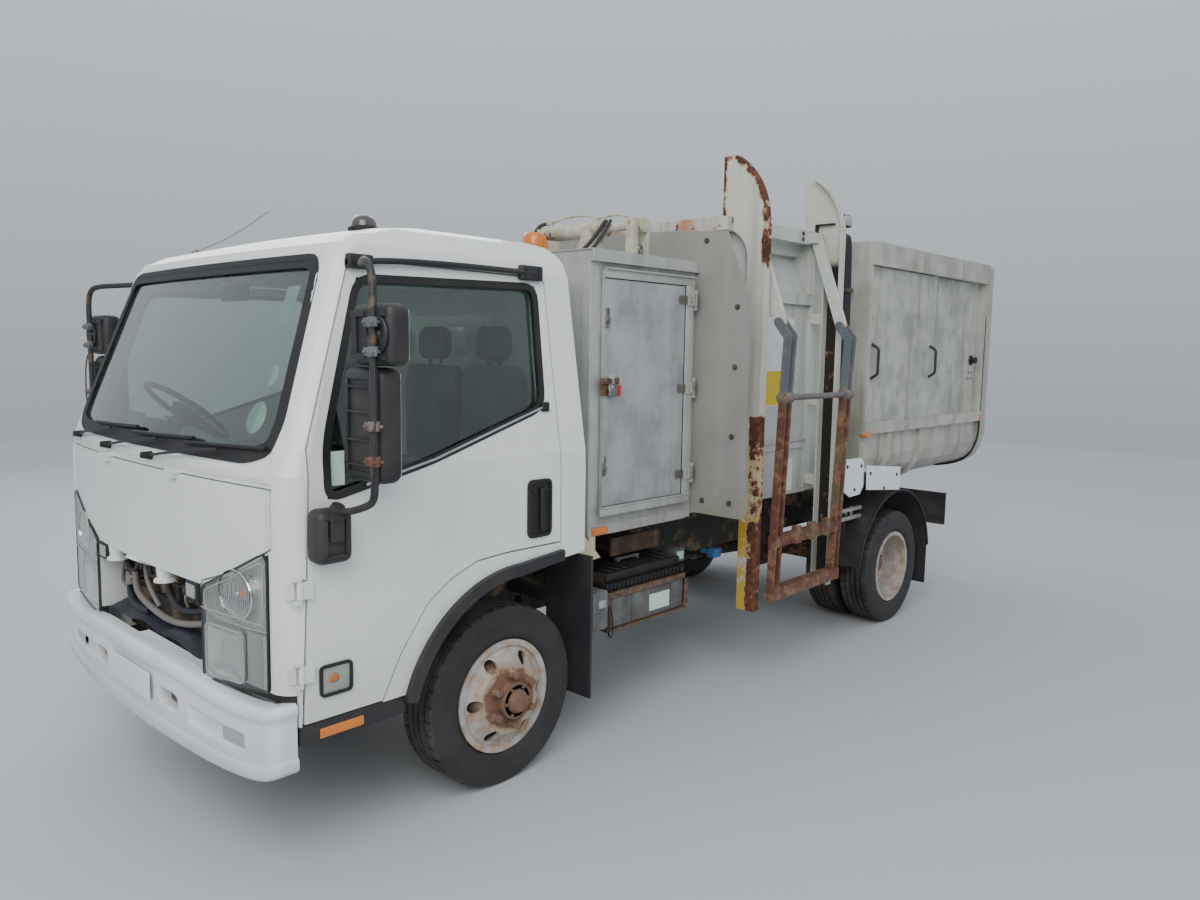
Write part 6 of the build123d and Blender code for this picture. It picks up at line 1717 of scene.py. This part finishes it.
keep([pipe(*cable) for cable in batteryLook["cables"]], "batteryCables", "chassis", "hoseBlack")

plug = [block((0.660, 1.768, 0.632), (0.716, 1.832, 0.682), 0.006),
        rod((0.660, 1.800, 0.656), (0.600, 1.800, 0.656), 0.014, 14)]
keep(plug, "plugBlue", "chassis", "plugBlue")
plugArm = [slab((0.400, 1.786, 0.628), (0.700, 1.814, 0.634)),
           pipe(((0.610, 1.800, 0.656), (0.560, 1.795, 0.640), (0.500, 1.740, 0.600), (0.420, 1.700, 0.620)), 0.008)]
keep(plugArm, "plugArm", "chassis", "sealBlack")
boxGrey = [block((0.600, 1.420, 0.660), (0.700, 1.508, 0.736), 0.005),
           slab((0.400, 1.450, 0.690), (0.604, 1.478, 0.700))]
keep(boxGrey, "boxGrey", "chassis", "caseGrey")
boxLabel = block((0.6995, 1.438, 0.676), (0.7020, 1.492, 0.720), 0.0008, 1)
keep(boxLabel, "boxLabel", "chassis", "stickerPale")
cream = sketch(((0.8715, 0.488, 1.006), (0.8715, 0.635, 0.849), (0.8715, 0.470, 0.837)), (0.006, 0, 0))
creamArm = [soften(cream, 0.002, 1), slab((0.840, 0.560, 0.890), (0.8720, 0.600, 0.985)),
            slab((0.360, 0.560, 0.886), (0.850, 0.600, 0.894))]
keep(creamArm, "creamPlate", "chassis", "creamPlate")
mudBox = [block((0.728, 0.468, 0.548), (0.990, 0.572, 0.728), 0.014, 3),
          block((0.985, 0.490, 0.650), (0.994, 0.550, 0.700), 0.003, 1)]
keep(mudBox, "mudBoxLeft", "chassis", "caseGrey")
mudLamp = block((0.994, 0.496, 0.656), (1.000, 0.544, 0.694), 0.003)
keep(mudLamp, "mudLamp", "chassis", "lampFlute")
print("battery and boxes made")


# ---- work light over the hopper's rear corner, and the hydraulic hoses beside it

light = [block((0.985, 2.500, 2.545), (1.040, 2.600, 2.615), 0.008, 3),
         slab((0.880, 2.452, 2.478), (0.892, 2.480, 2.560)),
         slab((0.880, 2.452, 2.552), (1.000, 2.560, 2.560))]
keep(light, "workLight", "tipper", "sealBlack")
face = block((1.0395, 2.508, 2.552), (1.0435, 2.592, 2.608), 0.004)
keep(face, "workLightLens", "tipper", "lampFlute")
hoseLook = {"route": ((0.930, 1.000), (0.930, 2.490), (0.890, 2.545), (0.735, 2.545), (0.735, 2.4203)),
            "places": (2.770, 2.795, 2.820), "radius": 0.011}
(exitX, exitZ), (endX, endZ) = hoseLook["route"][0], (0.735, 2.420)
for n, y in enumerate(hoseLook["places"]):
    liftHose = curveAlong("liftHose" + str(n + 1), [(x, y, z) for x, z in hoseLook["route"]],
                          hoseLook["radius"], True, 4, 16)
    liftHose.data.materials.append(finishes["hoseBlack"])
    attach(liftHose, "tipper")
    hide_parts("hoses")
clips = [block((0.860, 2.755, z), (0.944, 2.840, z + 0.030), 0.004) for z in (1.300, 2.180)]
clips += [rod((endX, y, endZ), (endX, y, endZ + 0.032), 0.0125, 6) for y in hoseLook["places"]]
clips += [rod((exitX, y, exitZ), (exitX, y, exitZ + 0.050), 0.0125, 6) for y in hoseLook["places"]]
hoseClips = keep(clips, "hoseClips", "tipper", "boltDark")
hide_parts("hoses")
print("hoses laid")
